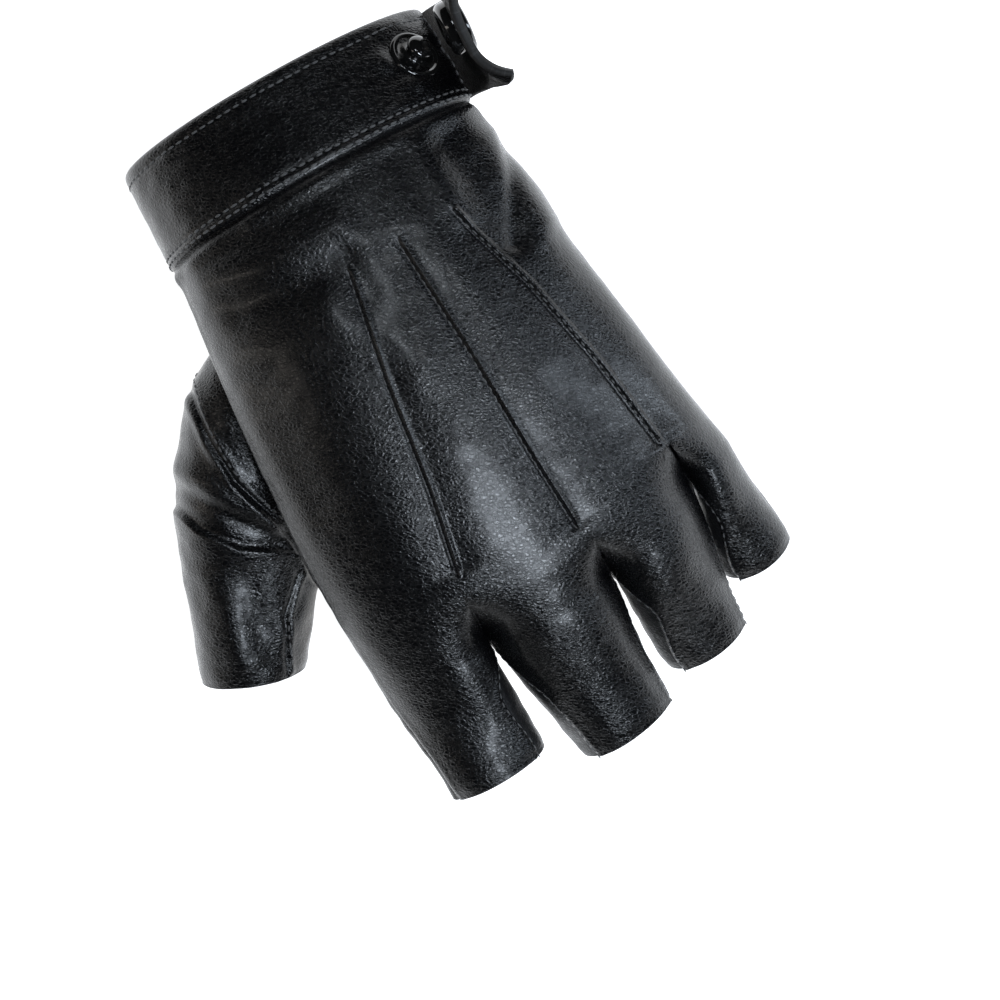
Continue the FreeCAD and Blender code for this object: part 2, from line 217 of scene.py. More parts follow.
def hand_surface(along, angle, out=0.0):
    """A place on the hand's leather, `out` from its outer face."""
    along, angle = np.broadcast_arrays(np.asarray(along, float), np.asarray(angle, float))
    width = size_at(along, WIDTH)
    power = 2 / size_at(along, SQUARE)
    turn = np.radians(angle)
    x = (width + out) * bent(np.cos(turn), power)
    z = (size_at(along, HEIGHT) + out) * bent(np.sin(turn), power)
    for share, web_along, hollow, thumb_side, little_side in WEBS:
        gap = x - share * width
        closing = ease((along - web_along) / hollow + 1) ** 2
        nearness = np.clip(np.abs(gap) / np.where(gap > 0, thumb_side, little_side), 0, 1)
        z = z * (1 - closing * (1 - np.sqrt(1 - (1 - nearness) ** 2)))
    z = z - size_at(along, ARCH) * (x / width) ** 2
    middle, side, _, up = section(along)
    return middle + side * x[..., None] + up * z[..., None]


def web_angle(number, along):
    """Angle of a web's line at places along the hand; 0 and 4 are the hand's two sides."""
    if number == 0:
        return np.zeros_like(along)
    if number == len(WEBS) + 1:
        return np.full_like(along, 180.0)
    share = WEBS[number - 1][0]
    return np.degrees(np.arccos(bent(share, size_at(along, SQUARE) / 2)))


def plan(points):
    """Where points show on the plan drawing, seen from above the middle of the hand."""
    scale = EYE_HEIGHT / (EYE_HEIGHT - points[..., 2:3])
    return EYE + (points[..., :2] - EYE) * scale


# ---- Finger sleeves ----

SPLITS = [126.0, WEBS[0][1], WEBS[1][1], WEBS[2][1], 117.5]
SIDE_SEAM = 4.0

# Ends of the sleeves: middle, half width, half height, then the seams' angles at the end:
# thumb-side seam and little-side seam of the back, then of the palm
FINGERS = {
    "index": dict(end=(28.9, 150.8, 5.6), half=(11.9, 10.6), back=(14, 142), palm=(14, -142)),
    "middle": dict(end=(0.4, 155.4, 2.2), half=(12.2, 10.9), back=(36, 158), palm=(-38, -142)),
    "ring": dict(end=(-23.6, 148.3, -3.2), half=(10.6, 9.8), back=(36, 156), palm=(-38, -142)),
    "little": dict(end=(-42.6, 137.6, -6.0), half=(8.9, 8.6), back=(36, 172), palm=(-38, -188)),
}
FINGER_NAMES = list(FINGERS)


def finger_directions(name):
    """The finger's own directions: to the thumb side, along it, out of its back."""
    place, axis = joint_place(name + "_bend")
    side = -axis
    end = np.array(FINGERS[name]["end"])
    forward = unit(end - place)
    forward = unit(forward - side * (forward @ side))
    return side, forward, np.cross(side, forward)


def split_point(number, theta):
    """The loop where a sleeve leaves the hand: theta is 0 at its thumb side, 90 on its back."""
    share = (1 - np.cos(np.radians(theta))) / 2
    along = SPLITS[number] + (SPLITS[number + 1] - SPLITS[number]) * share
    first = web_angle(number, along)
    last = web_angle(number + 1, along)
    angle = np.where(theta < 0, -1, 1) * (first + (last - first) * share)
    return along, angle


def sleeve_surface(name, s, theta):
    """A place on a sleeve: s is 0 at the hand and 1 at the sleeve's end."""
    number = FINGER_NAMES.index(name)
    s, theta = np.broadcast_arrays(np.asarray(s, float), np.asarray(theta, float))
    along, angle = split_point(number, np.where(theta < -180, theta + 360, theta))
    start = hand_surface(along, angle)
    hand_forward = section(along)[2]
    side, forward, up = finger_directions(name)
    end_middle = np.array(FINGERS[name]["end"])
    half_width, half_height = FINGERS[name]["half"]
    turn = np.radians(theta)
    end = (end_middle + side * (half_width * np.cos(turn))[..., None]
           + up * (half_height * np.sin(turn))[..., None])
    length = np.linalg.norm(end - start, axis=-1, keepdims=True)
    t = s[..., None]
    rest = 1 - t
    return (start * (1 + 2 * t) * rest ** 2 + end * (3 - 2 * t) * t ** 2
            + hand_forward * length * t * rest ** 2 - forward * length * t ** 2 * rest)


def seam_open(s):
    """How far the fourchette has opened at s: 0 at the web, 1 past its point."""
    return ease(s * 1.9) ** 0.8


# ---- Sheets of leather ----

def grid_normals(points, wrap=False):
    """Normals of a grid of places, from its own rows and columns."""
    down = np.gradient(points, axis=0)
    if wrap:
        across = (np.roll(points, -1, 1) - np.roll(points, 1, 1)) / 2
    else:
        across = np.gradient(points, axis=1)
    return unit(np.cross(down, across))


def edge_distances(points):
    """Distance of each grid place from the first and last row and the first and last column."""
    rows = np.linalg.norm(np.diff(points, axis=0), axis=-1)
    columns = np.linalg.norm(np.diff(points, axis=1), axis=-1)
    from_first_row = np.concatenate([np.zeros((1, points.shape[1])), np.cumsum(rows, 0)])
    from_first_column = np.concatenate([np.zeros((points.shape[0], 1)), np.cumsum(columns, 1)], 1)
    return (from_first_row, from_first_row[-1] - from_first_row,
            from_first_column, from_first_column[:, -1:] - from_first_column)


def border(rows, columns):
    """Grid places round the edge of an open grid, in order."""
    top = [(0, c) for c in range(columns)]
    right = [(r, columns - 1) for r in range(1, rows)]
    bottom = [(rows - 1, c) for c in range(columns - 2, -1, -1)]
    left = [(r, 0) for r in range(rows - 2, 0, -1)]
    return np.array(top + right + bottom + left)


def make_mesh(name, points, faces, normals, materials, material_index, rest):
    """A piece of the glove from hand-frame places, with its own shading normals."""
    mesh = bpy.data.meshes.new(name)
    mesh.from_pydata(to_row(points).tolist(), [], faces)
    for material in materials:
        mesh.materials.append(material)
    mesh.polygons.foreach_set("material_index", np.asarray(material_index, dtype=np.int32))
    mesh.polygons.foreach_set("use_smooth", np.ones(len(faces), dtype=bool))
    place = mesh.attributes.new("hide", "FLOAT_VECTOR", "POINT")
    place.data.foreach_set("vector", np.asarray(rest, dtype=np.float32).ravel())
    mesh.update()
    mesh.normals_split_custom_set_from_vertices(unit(np.asarray(normals, float)).tolist())
    piece = bpy.data.objects.new(name, mesh)
    bpy.context.collection.objects.link(piece)
    return piece


def leather_sheet(name, outer, normals, materials, thickness=LEATHER, bulge=0.35, wrap=False, rest=None):
    """A closed sheet of leather: outer face, inner face at half the detail, and rounded edges."""
    rows, columns = outer.shape[:2]
    facing_out = np.sum(normals * np.cross(np.gradient(outer, axis=0), np.gradient(outer, axis=1))) > 0
    rest = outer if rest is None else rest
    inner = (outer - normals * thickness)[::2, ::2]
    inner_rows, inner_columns = inner.shape[:2]
    outer_id = np.arange(rows * columns).reshape(rows, columns)
    inner_id = rows * columns + np.arange(inner_rows * inner_columns).reshape(inner_rows, inner_columns)
    rest_inner = rest[::2, ::2]

    def quads(ids, reverse):
        across = np.roll(ids, -1, 1) if wrap else ids[:, 1:]
        here = ids if wrap else ids[:, :-1]
        made = np.stack([here[:-1], here[1:], across[1:], across[:-1]], -1).reshape(-1, 4)
        return made[:, ::-1] if reverse else made

    faces = quads(outer_id, not facing_out).tolist()
    index = [0] * len(faces)
    inner_faces = quads(inner_id, facing_out).tolist()
    faces += inner_faces
    index += [1] * len(inner_faces)
    points = [outer.reshape(-1, 3), inner.reshape(-1, 3)]
    shading = [normals.reshape(-1, 3), -normals[::2, ::2].reshape(-1, 3)]
    rests = [rest.reshape(-1, 3), rest_inner.reshape(-1, 3)]
    row_way = unit(np.gradient(outer, axis=0))
    column_way = unit(np.gradient(outer, axis=1))
    if wrap:
        loops = [np.array([(0, c) for c in range(columns)]),
                 np.array([(rows - 1, c) for c in range(columns)][::-1])]
    else:
        loops = [border(rows, columns)]
    base = rows * columns + inner_rows * inner_columns
    for loop in loops:
        r, c = loop[:, 0], loop[:, 1]
        way = np.zeros((len(loop), 3))
        way += row_way[r, c] * ((r == rows - 1) * 1.0 - (r == 0) * 1.0)[:, None]
        if not wrap:
            way += column_way[r, c] * ((c == columns - 1) * 1.0 - (c == 0) * 1.0)[:, None]
        way = unit(way)
        edge = outer[r, c] - normals[r, c] * thickness / 2 + way * bulge
        points.append(edge)
        shading.append(way)
        rests.append(rest[r, c])
        count = len(loop)
        ring = base + np.arange(count)
        base += count
        top = outer_id[r, c]
        for i in range(count):
            j = (i + 1) % count
            face = [top[i], top[j], ring[j], ring[i]]
            faces.append([int(v) for v in (face if facing_out else face[::-1])])
            index.append(2)
        for i in range(0, count, 2):
            j = (i + 1) % count
            k = (i + 2) % count
            low = inner_id[r[i] // 2, (c[i] // 2) % inner_columns]
            high = inner_id[r[k] // 2, (c[k] // 2) % inner_columns]
            face = [ring[i], ring[j], ring[k], high, low]
            faces.append([int(v) for v in (face if facing_out else face[::-1])])
            index.append(2)
    return make_mesh(name, np.concatenate(points), faces, np.concatenate(shading),
                     materials, index, np.concatenate(rests))


# ---- Shader writing ----

class Value:
    """A shader number that takes part in ordinary sums."""

    def __init__(self, finish, socket):
        self.finish = finish
        self.socket = socket

    def sum(self, operation, first, second=0.0):
        return self.finish.node("ShaderNodeMath", {"operation": operation}, {0: first, 1: second})

    def __add__(self, other):
        return self.sum("ADD", self, other)

    def __sub__(self, other):
        return self.sum("SUBTRACT", self, other)

    def __rsub__(self, other):
        return self.sum("SUBTRACT", other, self)

    def __mul__(self, other):
        return self.sum("MULTIPLY", self, other)

    __radd__ = __add__
    __rmul__ = __mul__


class Finish:
    """One material's nodes."""

    def __init__(self, name):
        self.material = bpy.data.materials.new(name)
        self.material.use_nodes = True
        self.tree = self.material.node_tree
        self.tree.nodes.clear()

    def node(self, kind, settings=None, sockets=None, output=0):
        """A node of a kind, with its settings, and the values or links of its sockets."""
        made = self.tree.nodes.new(kind)
        for key, value in (settings or {}).items():
            setattr(made, key, value)
        for key, value in (sockets or {}).items():
            if isinstance(value, Value):
                self.tree.links.new(value.socket, made.inputs[key])
            else:
                made.inputs[key].default_value = value
        return Value(self, made.outputs[output]) if made.outputs else None

    def mix(self, factor, first, second):
        """Two colours mixed."""
        return self.node("ShaderNodeMix", {"data_type": "RGBA"}, {0: factor, 6: first, 7: second}, 2)

    def clamp(self, value, low, high):
        """A value mapped from low..high to 0..1, held inside."""
        return self.node("ShaderNodeMapRange", {"interpolation_type": "SMOOTHSTEP"},
                         {0: value, 1: low, 2: high})

    def done(self, shader):
        """The material, once its shader is joined to its output."""
        self.node("ShaderNodeOutputMaterial", None, {0: shader})
        return self.material


def gray(value):
    """A grey as a colour socket takes it."""
    return (value, value, value, 1.0)


def shaded(tint, strength):
    """A tint made darker or lighter."""
    return tuple(part * strength for part in tint) + (1.0,)


# The leather's grain: its lines are turned to run across the hand, and its cells are stretched along them
GRAIN_TURN = math.radians(29)
GRAIN_STRETCH = (0.72, 1.35, 1.0)
PLATES_PER_MM = 1.05
BEADS_PER_MM = 2.3
PORES_PER_MM = 5.0
GRAIN_DEPTH = 0.00009


def leather_finish(name, tint, roughness, grain, painted_crease_shade, shine=0.45):
    """Black nappa-look leather: crinkled grain, fine pores, soft undulation and worn high places; the grain's
    crease lines are painted darker than its plates as painted shade.
    """
    f = Finish(name)
    hide = f.node("ShaderNodeAttribute", {"attribute_name": "hide"}, None, 1)
    warp = f.node("ShaderNodeTexNoise", None, {"Vector": hide, "Scale": 0.55, "Detail": 3.0}, 1)
    warped = f.node("ShaderNodeVectorMath", {"operation": "MULTIPLY_ADD"},
                    {0: warp, 1: (0.9, 0.9, 0.9), 2: hide})
    lined_up = f.node("ShaderNodeMapping", None, {"Vector": warped, "Rotation": (0, 0, GRAIN_TURN)})
    stretched = f.node("ShaderNodeMapping", None, {"Vector": lined_up, "Scale": GRAIN_STRETCH})
    cells = f.node("ShaderNodeTexVoronoi", {"feature": "DISTANCE_TO_EDGE"},
                   {"Vector": stretched, "Scale": PLATES_PER_MM, "Randomness": 1.0})
    small = f.node("ShaderNodeTexVoronoi", {"feature": "DISTANCE_TO_EDGE"},
                   {"Vector": stretched, "Scale": BEADS_PER_MM, "Randomness": 1.0})
    pores = f.node("ShaderNodeTexNoise", None, {"Vector": hide, "Scale": PORES_PER_MM, "Detail": 2.0})
    soft = f.node("ShaderNodeTexNoise", None, {"Vector": hide, "Scale": 0.16, "Detail": 3.0})
    patches = f.node("ShaderNodeTexNoise", None, {"Vector": hide, "Scale": 0.05, "Detail": 2.0})
    plates = f.clamp(cells, 0.0, 0.28)
    beads = f.clamp(small, 0.0, 0.3)
    strength = f.clamp(patches, 0.3, 0.7) * 0.3 + 0.75
    height = (plates * 0.7 + beads * 0.3) * strength + pores * 0.04 + soft * 0.5
    normal = f.node("ShaderNodeBump", None, {"Height": height, "Strength": grain, "Distance": GRAIN_DEPTH})
    crease = 1 - plates
    worn = f.clamp(soft, 0.45, 0.75)
    base = f.mix(worn * 0.6, shaded(tint, 0.75), shaded(tint, 1))
    # Painted shade: the grain's plates are lightened towards a paler tint, so its recessed crease lines stay
    # darker.
    base = f.mix(plates * painted_crease_shade, base, (tint[0] * 2.6, tint[1] * 2.6, tint[2] * 2.7, 1))
    rough_value = crease * 0.13 + worn * 0.04 + (roughness - 0.08)
    shader = f.node("ShaderNodeBsdfPrincipled", None, {
        "Base Color": base, "Roughness": rough_value, "Normal": normal,
        "IOR": 1.5, "Coat Weight": shine / 3, "Coat Roughness": 0.16, "Coat IOR": 1.45,
        "Specular IOR Level": shine})
    return f.done(shader)


def backing_finish(name):
    """The leather's inner face: a fine dark knit."""
    f = Finish(name)
    hide = f.node("ShaderNodeAttribute", {"attribute_name": "hide"}, None, 1)
    ribs = f.node("ShaderNodeTexWave", {"wave_type": "BANDS", "bands_direction": "X"},
                  {"Vector": hide, "Scale": 0.55, "Distortion": 0.6, "Detail": 1.0})
    rows = f.node("ShaderNodeTexWave", {"wave_type": "BANDS", "bands_direction": "Y"},
                  {"Vector": hide, "Scale": 0.5, "Distortion": 0.6, "Detail": 1.0})
    fuzz = f.node("ShaderNodeTexNoise", None, {"Vector": hide, "Scale": 2.5, "Detail": 4.0})
    loops = ribs * 0.5 + rows * 0.5
    color = f.mix(loops * 0.6 + fuzz * 0.4, gray(0.010), gray(0.045))
    normal = f.node("ShaderNodeBump", None,
                    {"Height": loops + fuzz * 0.5, "Strength": 0.7, "Distance": 0.00025})
    shader = f.node("ShaderNodeBsdfPrincipled", None, {
        "Base Color": color, "Roughness": fuzz * 0.15 + 0.8, "Normal": normal,
        "Specular IOR Level": 0.2})
    return f.done(shader)


def edge_finish(name):
    """The cut edge of the leather: darker skin, paler broken fibres."""
    f = Finish(name)
    hide = f.node("ShaderNodeAttribute", {"attribute_name": "hide"}, None, 1)
    fibres = f.node("ShaderNodeTexNoise", None,
                    {"Vector": hide, "Scale": 3.2, "Detail": 5.0, "Roughness": 0.7})
    lumps = f.node("ShaderNodeTexNoise", None, {"Vector": hide, "Scale": 0.8, "Detail": 2.0})
    pale = f.clamp(fibres, 0.5, 0.72) * f.clamp(lumps, 0.4, 0.65)
    color = f.mix(pale, gray(0.009), gray(0.07))
    normal = f.node("ShaderNodeBump", None, {"Height": fibres, "Strength": 0.8, "Distance": 0.0003})
    shader = f.node("ShaderNodeBsdfPrincipled", None,
                    {"Base Color": color, "Roughness": pale * 0.2 + 0.62, "Normal": normal})
    return f.done(shader)


def thread_finish(name):
    """Black sewing thread with a slight sheen and a twist."""
    f = Finish(name)
    place = f.node("ShaderNodeTexCoord", None, None, 3)
    twist = f.node("ShaderNodeTexNoise", None, {"Vector": place, "Scale": 3500.0, "Detail": 2.0})
    color = f.mix(twist, gray(0.03), gray(0.12))
    normal = f.node("ShaderNodeBump", None, {"Height": twist, "Strength": 0.6, "Distance": 0.00008})
    shader = f.node("ShaderNodeBsdfPrincipled", None, {
        "Base Color": color, "Roughness": twist * 0.2 + 0.42, "Normal": normal, "Sheen Weight": 0.25})
    return f.done(shader)


def enamel_finish(name):
    """Gloss black enamel with faint orange peel and rubbed places."""
    f = Finish(name)
    place = f.node("ShaderNodeTexCoord", None, None, 3)
    peel = f.node("ShaderNodeTexNoise", None, {"Vector": place, "Scale": 1400.0, "Detail": 2.0})
    rubbed = f.node("ShaderNodeTexNoise", None, {"Vector": place, "Scale": 420.0, "Detail": 4.0})
    worn = f.clamp(rubbed, 0.6, 0.8)
    color = f.mix(worn, gray(0.006), gray(0.022))
    normal = f.node("ShaderNodeBump", None, {"Height": peel, "Strength": 0.12, "Distance": 0.00005})
    shader = f.node("ShaderNodeBsdfPrincipled", None, {
        "Base Color": color, "Roughness": worn * 0.14 + 0.1, "Normal": normal,
        "Coat Weight": 0.6, "Coat Roughness": 0.05})
    return f.done(shader)


def steel_finish(name):
    """Plain turned steel."""
    f = Finish(name)
    place = f.node("ShaderNodeTexCoord", None, None, 3)
    marks = f.node("ShaderNodeTexNoise", None, {"Vector": place, "Scale": 900.0, "Detail": 4.0})
    color = f.mix(marks, gray(0.32), gray(0.5))
    normal = f.node("ShaderNodeBump", None, {"Height": marks, "Strength": 0.2, "Distance": 0.00005})
    shader = f.node("ShaderNodeBsdfPrincipled", None,
                    {"Base Color": color, "Metallic": 1.0, "Roughness": marks * 0.15 + 0.22,
                     "Normal": normal})
    return f.done(shader)


def floor_finish(name):
    """A bright white table top."""
    f = Finish(name)
    place = f.node("ShaderNodeTexCoord", None, None, 3)
    mottle = f.node("ShaderNodeTexNoise", None, {"Vector": place, "Scale": 60.0, "Detail": 3.0})
    color = f.mix(mottle, gray(0.86), gray(0.9))
    diffuse = f.node("ShaderNodeBsdfPrincipled", None, {"Base Color": color, "Roughness": 0.8})
    glow = f.node("ShaderNodeEmission", None, {"Color": gray(1.0), "Strength": 1.0})
    shader = f.node("ShaderNodeAddShader", None, {0: diffuse, 1: glow})
    return f.done(shader)


# The last number of each leather sets how much darker its grain's crease lines are painted than the plates:
# painted shade.
LEATHER_TOP = leather_finish("black_leather", (0.0024, 0.0025, 0.0029),
                             roughness=0.25, grain=0.9, painted_crease_shade=0.12)
LEATHER_STRIP = leather_finish("black_leather_strip", (0.0045, 0.0045, 0.005),
                               roughness=0.42, grain=1.0, painted_crease_shade=0.5)
LINING = leather_finish("black_lining", (0.0032, 0.0030, 0.0030),
                        roughness=0.46, grain=1.0, painted_crease_shade=0.4, shine=0.12)
BACKING = backing_finish("knit_backing")
CUT_EDGE = edge_finish("cut_edge")
THREAD = thread_finish("black_thread")
ENAMEL = enamel_finish("black_enamel")
STEEL = steel_finish("plain_steel")
SHEET_FINISH = [LEATHER_TOP, BACKING, CUT_EDGE]
STRIP_FINISH = [LEATHER_STRIP, BACKING, CUT_EDGE]


# ---- Pintucks, seams and folds on the back ----

# Pintucks on the plan drawing, from the cuff towards the knuckles
PINTUCKS = [
    [(4.5, 40.9), (9.5, 67.5), (12.6, 90.6), (16.2, 109.0)],
    [(-8.3, 40.2), (-9.9, 68.4), (-10.6, 93.7), (-11.5, 113.0)],
    [(-21.9, 40.3), (-28.7, 61.6), (-33.4, 84.2), (-36.2, 105.7)],
]

# Soft folds on the plan drawing: line, half-width, height
FOLDS = [
    ([(-40.0, 28.0), (-36.0, 41.0), (-30.5, 53.0)], 1.7, -0.9),
    ([(-45.0, 30.0), (-41.5, 42.0), (-36.0, 55.0)], 3.2, 0.5),
    ([(33, 27), (18, 30), (2, 31)], 4.5, 1.1),
    ([(30, 36), (14, 38), (4, 37)], 4.0, -0.8),
    ([(-22, 24), (-23, 42)], 3.5, 0.8),
    ([(-28, 26), (-31, 52)], 4.0, -0.9),
    ([(-36, 30), (-38, 52)], 3.0, 0.8),
    ([(12, 47), (2, 66)], 6.0, 0.7),
    ([(34, 52), (36, 82)], 5.0, -0.5),
]


def pintuck_height(points):
    """Ridge, groove and sunken ground of the three pintucks, and the pucker past each end."""
    total = np.zeros(points.shape[:-1])
    for line in PINTUCKS:
        d, reach, length = line_distance(points, line)
        ends = ease(reach / 9 + 0.55) * ease((length - reach) / 2.5 + 0.8)
        inside = (np.abs(d) < 12) * 1.0
        sewn = ends * inside
        total += sewn * (0.6 * bump(d - 0.5, 0.5) - 0.5 * bump(d + 0.45, 0.5))
        total -= sewn * 0.8 * bump(d, 5.5)
        tail = ease(1 - (reach - length) / 8) * ease((reach - length) / 1.5 + 1)
        total -= 0.25 * tail * bump(d, 1.6) * inside
    return total


def fold_height(points):
    """Broad soft folds of the worn leather."""
    total = np.zeros(points.shape[:-1])
    for line, width, height in FOLDS:
        d, reach, length = line_distance(points, line)
        ends = ease(reach / (width * 2) + 1) * ease((length - reach) / (width * 2) + 1)
        total += height * ends * bump(d, width)
    return total


# ---- Building the leather panels ----

HAND_ROWS = 201
LOBE_COLUMNS = 80
SLEEVE_ROWS = 49
PANEL_START = 22.8
VENT_START = 24.0
VENT_LENGTH = 20.0
VENT_ANGLE = 14.0


def vent(along):
    """How far the vent is open, in degrees from the little-finger seam."""
    share = np.clip((along - VENT_START) / VENT_LENGTH, 0, 1)
    return VENT_ANGLE * (1 - share) ** 1.4


def hand_lobe(number, palm):
    """The hand's leather behind one finger: rows from the cuff to the split, columns across."""
    q = np.linspace(0, 1, LOBE_COLUMNS + 1)
    v = np.linspace(0, 1, HAND_ROWS)[:, None]
    theta = np.linspace(first_theta(number, palm), -180.0 if palm else 180.0, LOBE_COLUMNS + 1)
    split_along, split_angle = split_point(number, theta)
    along = PANEL_START + (split_along - PANEL_START) * v
    sign = -1 if palm else 1
    first = sign * web_angle(number, along) if number else np.full_like(along, SIDE_SEAM)
    last = sign * web_angle(number + 1, along)
    if number == len(FINGERS) - 1:
        last = sign * (180.0 - vent(along))
    near_split = ease((v - 0.55) / 0.45)
    at_split_first = sign * web_angle(number, split_along) if number else np.full_like(split_along, SIDE_SEAM)
    at_split_last = sign * web_angle(number + 1, split_along)
    split_share = (split_angle - at_split_first) / (at_split_last - at_split_first)
    share = q + (split_share - q) * near_split
    return hand_surface(along, first + (last - first) * share)


def first_theta(number, palm):
    """Where a sleeve's panel starts round the sleeve, at the hand."""
    if number:
        return -0.0001 if palm else 0.0
    along = np.array([SPLITS[0]])
    share = SIDE_SEAM / web_angle(1, along)[0]
    return math.degrees(math.acos(1 - 2 * share))


def sleeve_panel(name, palm):
    """One finger's back or palm leather, from the split to the sleeve's end."""
    number = FINGER_NAMES.index(name)
    s = np.linspace(0, 1, SLEEVE_ROWS)[:, None]
    q = np.linspace(0, 1, LOBE_COLUMNS + 1)
    end_first, end_last = FINGERS[name]["palm" if palm else "back"]
    sign = -1 if palm else 1
    opening = seam_open(s)
    start = first_theta(number, palm)
    first = start + (end_first - start) * (s if number == 0 else opening)
    last = sign * 180.0 + (end_last - sign * 180.0) * opening
    theta = first + (last - first) * q
    theta = np.where(palm & (number > 0) & (theta > -0.0001), -0.0001, theta)
    return sleeve_surface(name, s, theta)


def build_panels(palm):
    """Back or palm: a long grid for each finger, its hand part and its sleeve in one."""
    lobes = [hand_lobe(number, palm) for number in range(len(FINGERS))]
    sleeves = [sleeve_panel(name, palm) for name in FINGER_NAMES]
    return [np.concatenate([lobe[:-1], sleeve]) for lobe, sleeve in zip(lobes, sleeves)]


def joined_normals(long_grids, outward):
    """Normals of the four long grids, made one across the lines where they touch."""
    made = [grid_normals(grid) * outward for grid in long_grids]
    shared = HAND_ROWS - 1
    for left, right in zip(made, made[1:]):
        both = unit(left[:shared, -1] + right[:shared, 0])
        left[:shared, -1] = both
        right[:shared, 0] = both
    return made


def hand_part(long_grids):
    """The four lobes behind the split as one grid."""
    parts = [grid[:HAND_ROWS, :-1] for grid in long_grids[:-1]] + [long_grids[-1][:HAND_ROWS]]
    return np.concatenate(parts, 1)


def back_height(grid, number):
    """Everything that lifts or dents the back's leather."""
    seen = plan(grid)
    height = pintuck_height(seen) + fold_height(seen)
    height += 0.35 * rough(grid * [1, 0.7, 1], 14.0, 3.1)
    height += 0.09 * rough(grid * [0.6, 1.3, 1], 5.0, 7.7)
    first_row, last_row, first_column, last_column = edge_distances(grid)
    rows = np.arange(grid.shape[0])[:, None]
    on_sleeve = ease((rows - HAND_ROWS + 1) / 8)
    pull = 0.6 + 0.7 * rough(grid * [1, 0.2, 1], 7.0, 41.0)
    height += 0.75 * pull * bump(first_row - 4.2, 1.7) - 0.5 * bump(first_row - 1.6, 1.1)
    if number == 0:
        height -= 0.75 * bump(first_column, 1.0) - 0.25 * bump(first_column - 2.2, 1.2)
    else:
        height -= on_sleeve * (0.6 * bump(first_column, 0.8) - 0.2 * bump(first_column - 1.6, 0.9))
    if number == len(FINGERS) - 1:
        height -= 0.4 * bump(last_column, 1.0)
    else:
        height -= on_sleeve * (0.6 * bump(last_column, 0.8) - 0.2 * bump(last_column - 1.6, 0.9))
    height -= on_sleeve * 0.35 * bump(last_row, 1.6)
    return height


def palm_height(grid, number):
    """Creases of the palm's leather."""
    height = 0.4 * rough(grid, 13.0, 11.0) + 0.2 * rough(grid * [0.7, 1.4, 1], 5.0, 5.0)
    first_column, last_column = edge_distances(grid)[2:]
    rows = np.arange(grid.shape[0])[:, None]
    on_sleeve = ease((rows - HAND_ROWS + 1) / 8)
    if number == 0:
        height -= 0.6 * bump(first_column, 1.0)
    else:
        height -= on_sleeve * 0.6 * bump(first_column, 0.8)
    if number == len(FINGERS) - 1:
        height -= 0.4 * bump(last_column, 1.0)
    else:
        height -= on_sleeve * 0.6 * bump(last_column, 0.8)
    return height


def ride_sleeve(piece, name):
    """Bakes the piece's place into its mesh; the line past the web where it would bend into its finger is
    worked out but not used.
    """
    number = FINGER_NAMES.index(name)
    webs = hand_surface(*split_point(number, np.array([0.0, 180.0])))
    forward = finger_directions(name)[1]
    across = unit(webs[0] - webs[1])
    way = unit(forward - across * (forward @ across))
    reach = max(float(np.max((webs - webs[0]) @ way)), 0.0)
    start = webs[0] + way * (reach + 0.6)
    end = start + way * 13.0
    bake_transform(piece)


def make_panels(palm):
    """Back or palm of the whole glove."""
    grids = build_panels(palm)
    outward = -1 if palm else 1
    normals = joined_normals(grids, outward)
    height_of = palm_height if palm else back_height
    raised = []
    for number, (grid, normal) in enumerate(zip(grids, normals)):
        raised.append(grid + normal * height_of(grid, number)[..., None])
    shared = HAND_ROWS
    for left, right in zip(raised, raised[1:]):
        both = (left[:shared, -1] + right[:shared, 0]) / 2
        left[:shared, -1] = both
        right[:shared, 0] = both
    normals = joined_normals(raised, outward)
    side = "palm" if palm else "back"
    pieces = {}
    pieces["hand"] = leather_sheet(side + "_leather", hand_part(raised), hand_part(normals), SHEET_FINISH)
    for name, grid, normal in zip(FINGER_NAMES, raised, normals):
        pieces[name] = leather_sheet("%s_%s_leather" % (name, side), grid[HAND_ROWS - 1:],
                                     normal[HAND_ROWS - 1:], SHEET_FINISH)
    return pieces, raised, normals


back_pieces, back_grids, back_normals = make_panels(False)
palm_pieces = make_panels(True)[0]
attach(back_pieces["hand"], "hand")
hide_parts("back_panel")
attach(palm_pieces["hand"], "hand")
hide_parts("palm_panel", "web_index_middle", "web_middle_ring", "web_ring_little")
for finger in FINGER_NAMES:
    ride_sleeve(back_pieces[finger], finger)
    ride_sleeve(palm_pieces[finger], finger)
    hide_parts(finger + "_back")
    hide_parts(finger + "_palm")


# ---- Fourchettes ----

# Degrees round the sleeve that a fourchette runs on under its neighbours
LAP = 5.0
FOURCHETTE_COLUMNS = 21
FOURCHETTE_THICKNESS = 0.7


